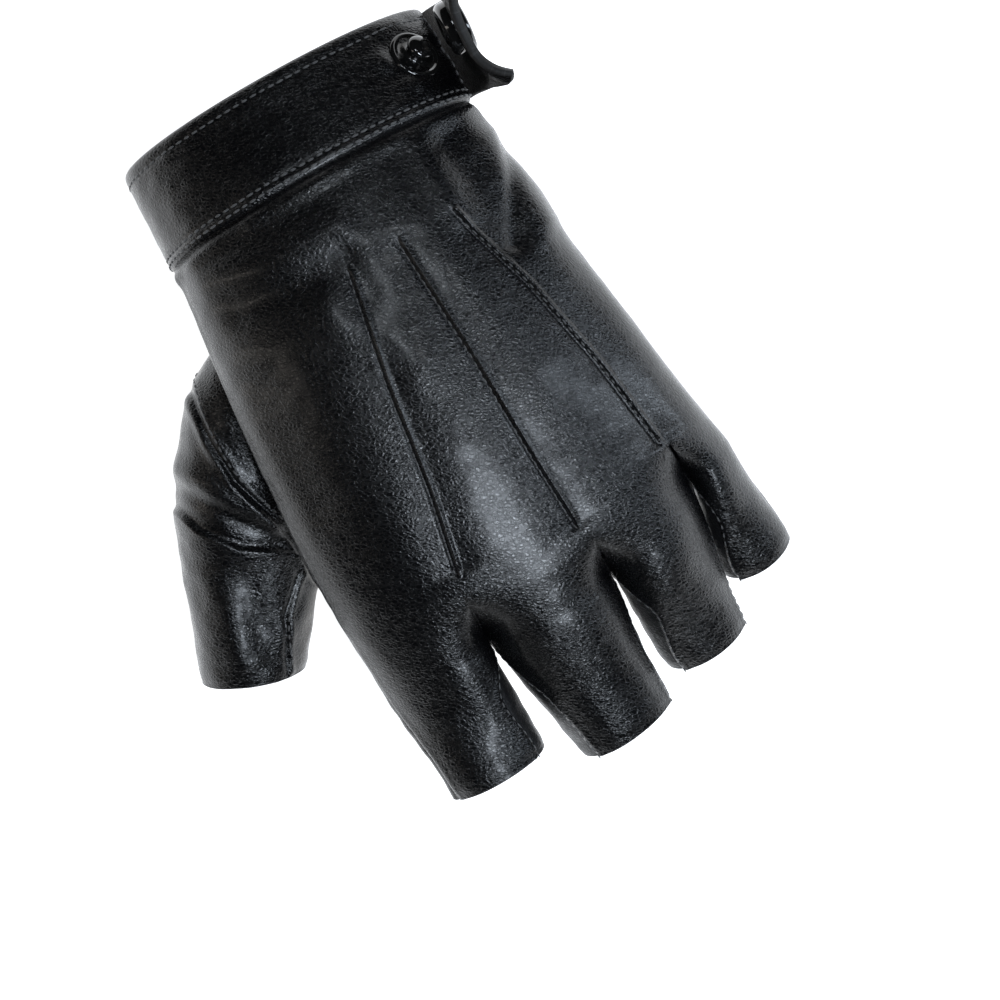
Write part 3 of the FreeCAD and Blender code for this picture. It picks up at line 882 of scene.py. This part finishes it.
def make_fourchette(name, thumb_side, nodes):
    """The strip between a finger's back and palm, lapped under both."""
    s = np.linspace(0.0, 1.0, SLEEVE_ROWS)[:, None]
    q = np.linspace(0, 1, FOURCHETTE_COLUMNS)
    opening = seam_open(s)
    back = FINGERS[name]["back"][0 if thumb_side else 1]
    palm = FINGERS[name]["palm"][0 if thumb_side else 1]
    middle = 0.0 if thumb_side else 180.0
    if not thumb_side:
        palm = palm + 360.0
    first = middle + (palm - middle) * opening - (LAP if thumb_side else -LAP)
    last = middle + (back - middle) * opening + (LAP if thumb_side else -LAP)
    theta = first + (last - first) * q
    theta = np.where(theta > 180, theta - 360, theta)
    points = sleeve_surface(name, s, theta)
    core = (sleeve_surface(name, s, np.array([90.0])) + sleeve_surface(name, s, np.array([-90.0]))) / 2
    normals = grid_normals(points)
    outward = np.sign(np.sum(normals * (points - core)))
    normals = normals * outward
    last_row = edge_distances(points)[1]
    height = -0.55 + 0.25 * rough(points, 4.0, 2.0) - 0.3 * bump(last_row, 1.4)
    points = points + normals * height[..., None]
    normals = grid_normals(points) * outward
    piece = leather_sheet("%s_leather" % nodes, points, normals, STRIP_FINISH,
                          thickness=FOURCHETTE_THICKNESS)
    ride_sleeve(piece, name)
    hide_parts(nodes)


make_fourchette("index", False, "index_fourchette")
make_fourchette("middle", True, "middle_inner_fourchette")
make_fourchette("middle", False, "middle_outer_fourchette")
make_fourchette("ring", True, "ring_inner_fourchette")
make_fourchette("ring", False, "ring_outer_fourchette")
make_fourchette("little", True, "little_fourchette")


# ---- Thumb ----

# Places along the thumb on the plan drawing: middle, height, half width away from the hand,
# half width towards it, half height
THUMB = np.array([
    (24, 38, 4.0, 3.0, 8.0, 6.5),
    (35.5, 51.0, -0.5, 11.2, 15.0, 12.0),
    (46, 64, -5.0, 12.8, 17.0, 14.0),
    (52, 75, -8.6, 13.2, 17.5, 14.0),
    (57.5, 86.5, -11.6, 12.3, 17.0, 13.2),
    (62, 97, -13.8, 11.8, 15.0, 12.3),
    (65.6, 106.6, -16.0, 11.9, 11.9, 11.7),
], float)
THUMB_SEAM = [(46.1, 42.5), (48.3, 50), (49.2, 58.3), (48.6, 68.5), (45.6, 77.9), (43.6, 87.2), (44.5, 95)]
THUMB_SLEEVE_SEAM = [(46.5, 92.0), (53.4, 98.8), (58.7, 109.8)]
THUMB_FOLDS = [
    ([(60, 57), (52, 70), (46, 81)], 2.6, 0.9),
    ([(62, 61), (54, 73), (46, 84)], 1.8, -0.5),
    ([(43, 95.5), (54.5, 102.5)], 2.2, 0.7),
    ([(64, 84), (66, 104)], 4.0, 0.6),
    ([(57, 88), (61, 106)], 3.0, -0.5),
]
THUMB_CREASE = [(65.0, 62.0), (62.2, 68.0), (60.4, 73.7), (54.7, 81.4), (43.8, 88.5)]


def thumb_middle(v):
    """The thumb's middle at v, 0 at its root and 1 at the sleeve's end."""
    at = np.asarray(v) * (len(THUMB) - 1)
    steps = np.arange(len(THUMB))
    z = smooth(at, steps, THUMB[:, 2])
    back_to_real = (EYE_HEIGHT - z) / EYE_HEIGHT
    x = EYE[0] + (smooth(at, steps, THUMB[:, 0]) - EYE[0]) * back_to_real
    y = EYE[1] + (smooth(at, steps, THUMB[:, 1]) - EYE[1]) * back_to_real
    return np.stack([x, y, z], -1)


def thumb_surface(v, phi):
    """A place on the thumb: phi is 0 away from the hand, 90 on top, 180 towards the hand."""
    v, phi = np.broadcast_arrays(np.asarray(v, float), np.asarray(phi, float))
    at = v * (len(THUMB) - 1)
    steps = np.arange(len(THUMB))
    forward = unit(thumb_middle(np.minimum(v + 0.01, 1.0)) - thumb_middle(np.maximum(v - 0.01, 0)))
    side = unit(np.cross(forward, np.array([0, 0, 1.0])))
    up = np.cross(side, forward)
    turn = np.radians(phi)
    width = np.where(np.cos(turn) > 0, smooth(at, steps, THUMB[:, 3]), smooth(at, steps, THUMB[:, 4]))
    height = smooth(at, steps, THUMB[:, 5])
    return (thumb_middle(v) + side * (width * np.cos(turn))[..., None]
            + up * (height * np.sin(turn))[..., None])


def thumb_height(points, normals):
    """Seams and folds of the thumb."""
    seen = plan(points)
    top = ease(normals[..., 2] * 2 + 0.4)
    d = line_distance(seen, THUMB_SEAM)[0]
    height = top * (0.25 * bump(d - 1.4, 1.0) - 0.5 * bump(d, 0.5) + 0.45 * bump(d + 1.2, 0.9))
    d, reach = line_distance(seen, THUMB_SLEEVE_SEAM)[:2]
    height = height + top * (0.4 * bump(d - 0.9, 0.7) - 0.4 * bump(d, 0.5)) * ease(reach / 4 + 1)
    for line, width, size in THUMB_FOLDS:
        d, reach, length = line_distance(seen, line)
        ends = ease(reach / 6 + 1) * ease((length - reach) / 6 + 1)
        height = height + top * size * ends * bump(d, width)
    d, reach, length = line_distance(seen, THUMB_CREASE)
    step = 1.1 * np.exp(-np.maximum(-d, 0) / 7.0) * ease(-d / 1.3 + 0.5) - 0.15 * bump(d - 1.0, 0.9)
    height = height + top * step * ease(reach / 5 + 1) * ease((length - reach) / 5 + 1)
    height = height + 0.35 * rough(points, 9.0, 21.0) + 0.15 * rough(points, 4.0, 9.0)
    return height - 0.3 * bump(edge_distances(points)[1], 1.4)


def ride_thumb(piece):
    """Bakes the piece's place into its mesh; the line through the thumb's joint is worked out but not used to
    bend it.
    """
    place = joint_place("thumb_swing")[0]
    way = unit(thumb_middle(np.array(1.0)) - place)
    tuple(to_row(place - way * 5))
    tuple(to_row(place + way * 9))
    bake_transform(piece)


def make_thumb():
    """The thumb's gusset and sleeve."""
    v = np.linspace(0.12, 1.0, 201)[:, None]
    phi = np.linspace(0, 360, 241)[:-1]
    smooth_tube = thumb_surface(v, phi)
    middle = thumb_middle(v)
    normals = grid_normals(smooth_tube, wrap=True)
    outward = np.sign(np.sum(normals * (smooth_tube - middle)))
    normals = normals * outward
    tube = smooth_tube + normals * thumb_height(smooth_tube, normals)[..., None]
    normals = grid_normals(tube, wrap=True) * outward
    piece = leather_sheet("thumb_leather", tube, normals, SHEET_FINISH, wrap=True)
    ride_thumb(piece)
    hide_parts("thumb_gusset", "thumb_sleeve")
    return tube, normals


thumb_grid, thumb_normals = make_thumb()


# ---- Cuff band ----

BAND_FIRST = 168.0
BAND_LAST = -167.0
BAND_OUT = 0.55
BAND_IN = -2.5
LOWER_STITCHES = 21.9
EDGE_STITCHES = 23.45
WRIST_STITCHES = 2.4
SNAP_ALONG = 10.5
SNAP_ANGLE = 144.0

# The band's section: place along the hand, height from the leather under it; from the lower
# edge up its outer face, over the fold at the wrist and down its inner face
BAND_OUTER = [(24.4, -0.55), (24.3, -0.05), (23.9, 0.3), (23.2, 0.55)]
BAND_FOLD = [(0.6, 0.5), (-0.1, 0.35), (-0.7, -0.05), (-1.0, -0.6), (-1.0, -1.3), (-0.7, -1.9), (-0.1, -2.3)]
BAND_INNER = [(0.8, -2.5), (26.4, -2.5), (26.9, -2.2), (26.9, -1.8), (26.4, -1.5), (24.5, -1.3)]


def surface_normal(along, angle):
    """The way out of the hand at a place."""
    forward = hand_surface(along + 0.3, angle) - hand_surface(along - 0.3, angle)
    round_way = hand_surface(along, angle - 0.5) - hand_surface(along, angle + 0.5)
    return unit(np.cross(round_way, forward))


def hump(along, angle):
    """Lift of the band and of the leather below it: soft waves, and the pull round the snap."""
    place = hand_surface(along, angle)
    lift = 0.42 * rough(place * [1, 0.55, 1], 11.0, 31.0) + 0.16 * rough(place, 4.5, 13.0)
    seat = hand_surface(np.array(SNAP_ALONG), np.array(SNAP_ANGLE))
    away = place - seat
    r = np.linalg.norm(away, axis=-1)
    turn = np.arctan2(away[..., 1], away[..., 0])
    return lift + bump(r - 8.2, 2.2) * (0.35 + 0.35 * np.cos(5 * turn + 0.6)) - 0.75 * bump(r, 6.0)


def band_face(along, angle, out=BAND_OUT):
    """A place on the band's outer face."""
    along, angle = np.broadcast_arrays(np.asarray(along, float), np.asarray(angle, float))
    lift = hump(along, angle) * ease((along + 0.5) / 3) * ease((24.5 - along) / 3)
    lift = lift - 0.25 * bump(along - LOWER_STITCHES, 0.6) - 0.14 * bump(along - WRIST_STITCHES, 0.6)
    return hand_surface(along, angle) + surface_normal(along, angle) * (out + lift)[..., None]


def make_band():
    """The band as one closed solid that goes round from its dorsal end to its palmar end."""
    inner_face = [(a, BAND_IN) for a in np.linspace(2, 24, 9)]
    outer_face = [(a, BAND_OUT) for a in np.linspace(22.6, 1.2, 44)]
    outline = BAND_OUTER + outer_face + BAND_FOLD + BAND_INNER[:1] + inner_face + BAND_INNER[1:]
    alongs = np.array([a for a, out in outline])
    outs = np.array([out for a, out in outline])
    angles = np.linspace(BAND_FIRST, BAND_LAST, 421)[:, None]
    ends = np.minimum(angles[0] - angles, angles - angles[-1])[..., 0]
    rounding = 1 - 0.5 * bump(ends, 0.9)[:, None]
    points = band_face(alongs + 0 * angles, angles, -1.0 + (outs + 1.0) * rounding)
    count = len(outline)
    normals = grid_normals(points, wrap=True)
    core = hand_surface(np.full_like(angles, 10.0), angles, -1.0)
    outward = np.sign(np.sum(normals[:, 6:44] * (points - core)[:, 6:44]))
    normals = normals * outward
    ids = np.arange(points.shape[0] * count).reshape(points.shape[0], count)
    after = np.roll(ids, -1, 1)
    faces = np.stack([ids[:-1], ids[1:], after[1:], after[:-1]], -1).reshape(-1, 4)
    if outward < 0:
        faces = faces[:, ::-1]
    faces = faces.tolist()
    inner_start = len(BAND_OUTER) + len(outer_face) + len(BAND_FOLD)
    index = [1 if c >= inner_start + 2 else 0 for _ in range(points.shape[0] - 1) for c in range(count)]
    caps = [list(map(int, ids[0])), list(map(int, ids[-1][::-1]))]
    if outward < 0:
        caps = [cap[::-1] for cap in caps]
    faces += [cap[::-1] for cap in caps]
    index += [2, 2]
    flat = points.reshape(-1, 3)
    piece = make_mesh("cuff_band_leather", flat, faces, normals.reshape(-1, 3), SHEET_FINISH, index, flat)
    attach(piece, "hand")
    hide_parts("cuff_band", "cuff_interlining")


make_band()


# ---- Snap ----

def lathe(name, profile, place, axis, material, steps=72):
    """A turned piece: the profile is (radius, height) from its bottom round to its top."""
    axis = unit(np.asarray(axis, float))
    first = unit(np.cross(axis, np.array([0.3, 0.5, 0.8])))
    second = np.cross(axis, first)
    points = []
    faces = []
    for radius, height in profile:
        for step in range(steps):
            turn = 2 * math.pi * step / steps
            points.append(place + axis * height + (first * math.cos(turn) + second * math.sin(turn)) * radius)
    count = len(profile)
    for ring in range(count - 1):
        for step in range(steps):
            after = (step + 1) % steps
            faces.append([ring * steps + step, ring * steps + after,
                          (ring + 1) * steps + after, (ring + 1) * steps + step])
    faces.append([step for step in range(steps)][::-1])
    faces.append([(count - 1) * steps + step for step in range(steps)])
    mesh = bpy.data.meshes.new(name)
    mesh.from_pydata(to_row(np.array(points)).tolist(), [], faces)
    mesh.materials.append(material)
    mesh.polygons.foreach_set("use_smooth", np.ones(len(faces), dtype=bool))
    mesh.update()
    mesh.set_sharp_from_angle(angle=math.radians(38))
    piece = bpy.data.objects.new(name, mesh)
    bpy.context.collection.objects.link(piece)
    return piece


def dome(radius, low, high, steps=12):
    """A rounded top for a profile."""
    turns = [math.pi / 2 * i / steps for i in range(steps + 1)]
    return [(max(radius * math.cos(turn), 0.02), low + (high - low) * math.sin(turn)) for turn in turns]


snap_place = band_face(np.array(SNAP_ALONG), np.array(SNAP_ANGLE), BAND_OUT)
snap_axis = surface_normal(np.array(SNAP_ALONG), np.array(SNAP_ANGLE))
# Radius and height: the flange's rim, its dished face, then the neck and the head
STUD = ([(5.6, -0.9), (5.95, -0.5), (6.0, 0.0), (5.9, 0.42), (5.6, 0.66), (5.2, 0.72), (4.85, 0.62),
         (4.6, 0.38), (4.3, 0.26), (2.9, 0.3), (2.45, 0.45), (2.2, 0.8), (2.2, 1.5), (2.45, 1.85),
         (2.8, 2.2), (2.9, 2.6)]
        + dome(2.9, 2.75, 4.3)[1:])
stud = lathe("snap_stud_enamel", STUD, snap_place, snap_axis, ENAMEL)
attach(stud, "hand")
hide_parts("snap_stud")


# ---- Strap end ----

STRAP_OPEN = 28.0
STRAP_LOW = 0.2
STRAP_HIGH = 21.2
STRAP_LAYERS = 2.1
STRAP_SLOPE = 8.0
STRAP_LEAN = 0.14
CLOSED_LIFT = 3.7
SOCKET_DEPTH = 1.5

# The open strap's line across the cuff: place to the thumb side and height
STRAP = [(-34.6, -4.6), (-37.0, -1.6), (-39.4, 2.0), (-40.9, 6.0), (-42.0, 12.0),
         (-42.4, 18.0), (-42.4, 25.0), (-42.2, 30.5), (-42.0, 33.6)]


def make_strap():
    """The strap end: two layers, with its lining inside."""
    y = section(np.array(SNAP_ALONG))[0][1]
    line = np.array([(x, y + STRAP_LEAN * max(z, 0), z) for x, z in STRAP])
    reach = np.concatenate([[0], np.cumsum(np.linalg.norm(np.diff(line, axis=0), axis=1))])
    even = np.linspace(0, reach[-1], 121)
    spine = np.stack([smooth(even, reach, line[:, i]) for i in range(3)], -1)
    width_way = np.array([0, math.cos(math.radians(STRAP_SLOPE)), math.sin(math.radians(STRAP_SLOPE))])
    across = np.linspace(STRAP_LOW, STRAP_HIGH, 61)
    middle = (STRAP_LOW + STRAP_HIGH) / 2
    corner = np.minimum((reach[-1] - even), 3.0)
    shrink = 1 - 0.10 * (1 - corner / 3.0) ** 2
    offsets = (across[None, :] - middle) * shrink[:, None] + middle - SNAP_ALONG
    points = spine[:, None, :] + offsets[..., None] * width_way
    normals = grid_normals(points)
    if normals[80, 30, 0] > 0:
        normals = -normals
    share = (even / reach[-1])[:, None]
    side_share = (across - middle) / 10.5
    curl = (3.4 * share ** 4 * np.maximum(side_share, 0) ** 3
            + 0.8 * share ** 4 * np.maximum(-side_share, 0) ** 3)
    curl = curl - 0.7 * ease(share * 2) * (1 - side_share ** 2) + 0.3 * rough(points, 7.0, 17.0)
    points = points + normals * curl[..., None]
    flipped = np.sum(grid_normals(points) * normals) < 0
    normals = grid_normals(points) * (-1 if flipped else 1)
    piece = leather_sheet("strap_leather", points, normals, [LEATHER_TOP, LINING, CUT_EDGE],
                          thickness=STRAP_LAYERS, bulge=0.5)
    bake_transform(piece)
    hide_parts("strap_outer", "strap_lining")
    return points, normals


strap_grid, strap_normals = make_strap()


# ---- Snap socket and cap on the strap ----

hinge_place, hinge_axis = joint_place("strap_fold")
closed_snap = hand_surface(np.array(SNAP_ALONG), np.array(SNAP_ANGLE)) + snap_axis * CLOSED_LIFT
socket_place = turned(closed_snap, hinge_place, hinge_axis, STRAP_OPEN)
nearest = np.argmin(np.linalg.norm(strap_grid - socket_place, axis=-1))
cap_place = strap_grid.reshape(-1, 3)[nearest]
cap_axis = strap_normals.reshape(-1, 3)[nearest]
CAP = [(5.6, -0.3), (6.1, 0.0), (6.25, 0.3), (6.1, 0.6)] + dome(6.0, 0.7, 1.4)[1:]
cap = lathe("snap_cap_enamel", CAP, cap_place, cap_axis, ENAMEL)
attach(cap, "strap")
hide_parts("snap_cap")
lining_place = cap_place - cap_axis * STRAP_LAYERS
SOCKET = [(0.02, 0.1), (3.0, 0.1), (3.3, 0.2), (3.35, 1.9), (3.6, 2.2), (4.3, 2.3),
          (5.0, 2.1), (5.6, 1.6), (5.95, 1.0), (6.0, -0.4), (5.7, -0.6), (0.02, -0.6)]
socket = lathe("snap_socket_enamel", SOCKET[::-1], lining_place, -cap_axis, ENAMEL)
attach(socket, "strap")
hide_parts("snap_socket")


def spring_ring(name, place, axis, radius, wire, material):
    """The wire ring that grips the stud."""
    steps = np.radians(np.arange(0, 360, 30))
    profile = [(radius + wire * math.cos(a), wire * math.sin(a)) for a in steps]
    return lathe(name, profile + profile[:1], place, axis, material)


spring = spring_ring("snap_spring_steel", lining_place - cap_axis * SOCKET_DEPTH, -cap_axis, 3.25, 0.32, STEEL)
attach(spring, "strap")
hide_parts("snap_spring")
POST = [(0.02, 0.5), (1.3, 0.5), (1.45, 0.3), (1.5, 0.0), (1.5, -2.0), (4.0, -3.1), (4.0, -3.5),
        (0.02, -3.7)]
post = lathe("snap_post_steel", POST[::-1], snap_place, snap_axis, STEEL)
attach(post, "hand")
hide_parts("snap_post")


# ---- Sewing ----

def stitch_nodes():
    """Geometry nodes that lay one bead of thread at even steps along every line."""
    tree = bpy.data.node_groups.new("stitches", "GeometryNodeTree")
    tree.interface.new_socket("Geometry", in_out="INPUT", socket_type="NodeSocketGeometry")
    for name in ("Spacing", "Length", "Width", "Height"):
        tree.interface.new_socket(name, in_out="INPUT", socket_type="NodeSocketFloat")
    tree.interface.new_socket("Thread", in_out="INPUT", socket_type="NodeSocketMaterial")
    tree.interface.new_socket("Geometry", in_out="OUTPUT", socket_type="NodeSocketGeometry")

    def node(kind, settings=None, sockets=None):
        made = tree.nodes.new(kind)
        for key, value in (settings or {}).items():
            setattr(made, key, value)
        for key, value in (sockets or {}).items():
            if isinstance(value, bpy.types.NodeSocket):
                tree.links.new(value, made.inputs[key])
            else:
                made.inputs[key].default_value = value
        return made

    given = node("NodeGroupInput").outputs
    curve = node("GeometryNodeMeshToCurve", None, {"Mesh": given["Geometry"]}).outputs[0]
    even = node("GeometryNodeResampleCurve", {"mode": "LENGTH"},
                {"Curve": curve, "Length": given["Spacing"]}).outputs[0]
    out_way = node("GeometryNodeInputNamedAttribute", {"data_type": "FLOAT_VECTOR"},
                   {"Name": "out"}).outputs[0]
    tangent = node("GeometryNodeInputTangent").outputs[0]
    upright = node("FunctionNodeAlignRotationToVector", {"axis": "Z"}, {"Vector": out_way}).outputs[0]
    aimed = node("FunctionNodeAlignRotationToVector", {"axis": "X", "pivot_axis": "Z"},
                 {"Rotation": upright, "Vector": tangent}).outputs[0]
    uneven = node("FunctionNodeRandomValue", {"data_type": "FLOAT"},
                  {2: 0.82, 3: 1.12, "Seed": 7}).outputs[1]
    long = node("ShaderNodeMath", {"operation": "MULTIPLY"}, {0: uneven, 1: given["Length"]}).outputs[0]
    size = node("ShaderNodeCombineXYZ", None, {0: long, 1: given["Width"], 2: given["Height"]}).outputs[0]
    bead = node("GeometryNodeMeshUVSphere", None, {"Segments": 10, "Rings": 7, "Radius": 0.5}).outputs[0]
    beads = node("GeometryNodeInstanceOnPoints", None,
                 {"Points": even, "Instance": bead, "Rotation": aimed, "Scale": size}).outputs[0]
    real = node("GeometryNodeRealizeInstances", None, {"Geometry": beads}).outputs[0]
    smoothed = node("GeometryNodeSetShadeSmooth", None, {"Geometry": real}).outputs[0]
    threaded = node("GeometryNodeSetMaterial", None,
                    {"Geometry": smoothed, "Material": given["Thread"]}).outputs[0]
    node("NodeGroupOutput", None, {"Geometry": threaded})
    return tree


STITCHES = stitch_nodes()


def sew(name, lines, spacing, length, width, height):
    """Beads of thread along lines given as (places, ways out), as one plain mesh."""
    points = np.concatenate([places for places, ways in lines])
    ways_out = np.concatenate([np.broadcast_to(ways, places.shape) for places, ways in lines])
    edges = []
    first = 0
    for places, ways in lines:
        edges += [(i, i + 1) for i in range(first, first + len(places) - 1)]
        first += len(places)
    mesh = bpy.data.meshes.new(name + "_lines")
    mesh.from_pydata(to_row(points).tolist(), edges, [])
    way = mesh.attributes.new("out", "FLOAT_VECTOR", "POINT")
    way.data.foreach_set("vector", np.asarray(ways_out, dtype=np.float32).ravel())
    guide = bpy.data.objects.new(name + "_lines", mesh)
    bpy.context.collection.objects.link(guide)
    layer = guide.modifiers.new("stitches", "NODES")
    layer.node_group = STITCHES
    sizes = {"Spacing": spacing, "Length": length, "Width": width, "Height": height}
    for socket in STITCHES.interface.items_tree:
        if socket.in_out == "INPUT" and socket.name in sizes:
            layer[socket.identifier] = sizes[socket.name] * MM
        if socket.in_out == "INPUT" and socket.name == "Thread":
            layer[socket.identifier] = THREAD
    evaluated = guide.evaluated_get(bpy.context.evaluated_depsgraph_get())
    made = bpy.data.meshes.new_from_object(evaluated)
    bpy.data.objects.remove(guide)
    piece = bpy.data.objects.new(name, made)
    bpy.context.collection.objects.link(piece)
    return piece


def beside(line, shift, step=0.8):
    """A smooth dense path beside a line on the plan drawing."""
    line = np.asarray(line, float)
    reach = np.concatenate([[0], np.cumsum(np.linalg.norm(np.diff(line, axis=0), axis=1))])
    even = np.linspace(0, reach[-1], max(int(reach[-1] / step), 2))
    path = np.stack([smooth(even, reach, line[:, 0]), smooth(even, reach, line[:, 1])], -1)
    way = unit(np.gradient(path, axis=0))
    return path + np.stack([-way[:, 1], way[:, 0]], -1) * shift


class Ground:
    """Finds the leather's surface under places on the plan drawing."""

    def __init__(self, grids, normals):
        places = np.concatenate([grid.reshape(-1, 3) for grid in grids])
        ways = np.concatenate([way.reshape(-1, 3) for way in normals])
        up = ways[:, 2] > 0.05
        self.places = places[up]
        self.ways = ways[up]
        seen = plan(self.places)
        self.tree = KDTree(len(seen))
        for number, (x, y) in enumerate(seen):
            self.tree.insert((x, y, 0), number)
        self.tree.balance()

    def under(self, path, lift=0.05):
        """Places on the leather and the ways out of it."""
        found = []
        for x, y in path:
            near = self.tree.find_n((x, y, 0), 5)
            weights = np.array([1 / (distance + 0.05) ** 2 for _, _, distance in near])
            weights /= weights.sum()
            numbers = [number for _, number, _ in near]
            found.append((weights @ self.places[numbers], weights @ self.ways[numbers]))
        places = np.array([place for place, way in found])
        ways = unit(np.array([way for place, way in found]))
        return places + ways * lift, ways


def inset_line(grid, normals, inset, from_last, lift=0.05):
    """A line along a grid's rows at a distance from its first or last column."""
    distance = edge_distances(grid)[3 if from_last else 2]
    places = []
    ways = []
    for r in range(grid.shape[0]):
        order = slice(None, None, -1) if from_last else slice(None)
        steps = distance[r][order]
        places.append([np.interp(inset, steps, grid[r][order][:, i]) for i in range(3)])
        ways.append([np.interp(inset, steps, normals[r][order][:, i]) for i in range(3)])
    ways = unit(np.array(ways))
    return np.array(places) + ways * lift, ways


back_ground = Ground(back_grids, back_normals)
thumb_ground = Ground([thumb_grid], [thumb_normals])
pintuck_lines = [back_ground.under(beside(line, -0.55)) for line in PINTUCKS]
pintuck_sewing = sew("pintuck_stitches", pintuck_lines, spacing=2.0, length=1.3, width=0.34, height=0.3)
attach(pintuck_sewing, "hand")
around = np.linspace(BAND_FIRST - 2.0, BAND_LAST + 1.5, 500)
band_lines = []
for row, lift in ((LOWER_STITCHES, 0.62), (EDGE_STITCHES, 0.5), (WRIST_STITCHES, 0.58)):
    band_lines.append((band_face(row, around, lift), surface_normal(np.full_like(around, row), around)))
end_row = np.linspace(2.6, 21.7, 30)
end_angle = BAND_FIRST - 2.4
band_lines.append((band_face(end_row, end_angle, 0.58),
                   surface_normal(end_row, np.full_like(end_row, end_angle))))
band_sewing = sew("band_stitches", band_lines, spacing=2.1, length=1.6, width=0.5, height=0.42)
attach(band_sewing, "hand")
side_places, side_ways = inset_line(back_grids[0][6:], back_normals[0][6:], 1.3, False)
side_line = (side_places[:HAND_ROWS - 30], side_ways[:HAND_ROWS - 30])
side_sewing = sew("side_stitches", [side_line], spacing=2.0, length=1.4, width=0.4, height=0.3)
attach(side_sewing, "hand")
thumb_lines = [thumb_ground.under(beside(THUMB_SEAM, 1.2)),
               thumb_ground.under(beside(THUMB_SLEEVE_SEAM, 1.0))]
thumb_sewing = sew("thumb_stitches", thumb_lines, spacing=2.0, length=1.4, width=0.42, height=0.34)
ride_thumb(thumb_sewing)
for number, finger in enumerate(FINGER_NAMES):
    grid = back_grids[number][HAND_ROWS - 1:]
    ways = back_normals[number][HAND_ROWS - 1:]
    lines = []
    if number > 0:
        lines.append(inset_line(grid[5:], ways[5:], 1.1, False))
    if number < len(FINGERS) - 1:
        lines.append(inset_line(grid[5:], ways[5:], 1.1, True))
    sewing = sew(finger + "_stitches", lines, spacing=2.0, length=1.4, width=0.4, height=0.3)
    ride_sleeve(sewing, finger)


# ---- Light, floor and camera ----

def make_floor():
    """A pale floor under the lowest place of the glove."""
    low = cad_bounds[0][2] - 0.0005
    half = 3.0
    corners = [(-half, -half, low), (half, -half, low), (half, half, low), (-half, half, low)]
    mesh = bpy.data.meshes.new("floor")
    mesh.from_pydata(corners, [], [(0, 1, 2, 3)])
    mesh.materials.append(floor_finish("white_floor"))
    floor = bpy.data.objects.new("floor", mesh)
    bpy.context.collection.objects.link(floor)


def make_lamp(name, place, target, size, power, color):
    """A soft square lamp that faces a place; both in hand-frame millimetres."""
    data = bpy.data.lights.new(name, "AREA")
    data.shape = "RECTANGLE"
    data.size = size[0]
    data.size_y = size[1]
    data.energy = power
    data.color = color
    lamp = bpy.data.objects.new(name, data)
    start = to_row(place)
    way = to_row(target) - start
    lamp.rotation_euler = Vector(way).to_track_quat("-Z", "Y").to_euler()
    lamp.location = start
    bpy.context.collection.objects.link(lamp)


def make_camera():
    """The camera over the back of the hand, fingers towards the lower right."""
    data = bpy.data.cameras.new("camera")
    data.sensor_width = 36.0
    data.lens = data.sensor_width * EYE_HEIGHT / VIEW_WIDTH
    data.clip_start = 0.01
    camera = bpy.data.objects.new("camera", data)
    right = Vector((-0.8713, 0.4907, 0))
    up = Vector((-0.4907, -0.8713, 0))
    back = Vector((0, 0, 1))
    place = Vector(to_row((EYE[0], EYE[1], EYE_HEIGHT)))
    camera.matrix_world = Matrix((
        (right.x, up.x, back.x, place.x),
        (right.y, up.y, back.y, place.y),
        (right.z, up.z, back.z, place.z),
        (0, 0, 0, 1)))
    bpy.context.collection.objects.link(camera)
    bpy.context.scene.camera = camera


make_floor()
make_camera()

# Lamps: place, size in metres, watts and colour
TARGET = (0, 90, 0)
LAMPS = {
    "main": ((-40, 330, 520), (0.09, 0.30), 2.2, (0.82, 0.90, 1.0)),
    "right": ((-430, 170, 280), (0.08, 0.5), 1.1, (0.78, 0.88, 1.0)),
    "left": ((430, -60, 190), (0.06, 0.5), 0.22, (1.0, 0.93, 0.86)),
    "back": ((-10, -90, 560), (0.08, 0.12), 0.34, (0.86, 0.93, 1.0)),
    "spark": ((-130, -40, 560), (0.04, 0.04), 0.08, (0.9, 0.95, 1.0)),
}
for lamp_name, (lamp_place, lamp_size, lamp_power, lamp_color) in LAMPS.items():
    make_lamp(lamp_name, lamp_place, TARGET, lamp_size, lamp_power, lamp_color)
world = bpy.data.worlds.new("world")
world.use_nodes = True
world.node_tree.nodes["Background"].inputs[0].default_value = (1, 1, 1, 1)
world.node_tree.nodes["Background"].inputs[1].default_value = 0.008
bpy.context.scene.world = world
bpy.context.scene.view_settings.view_transform = "Standard"
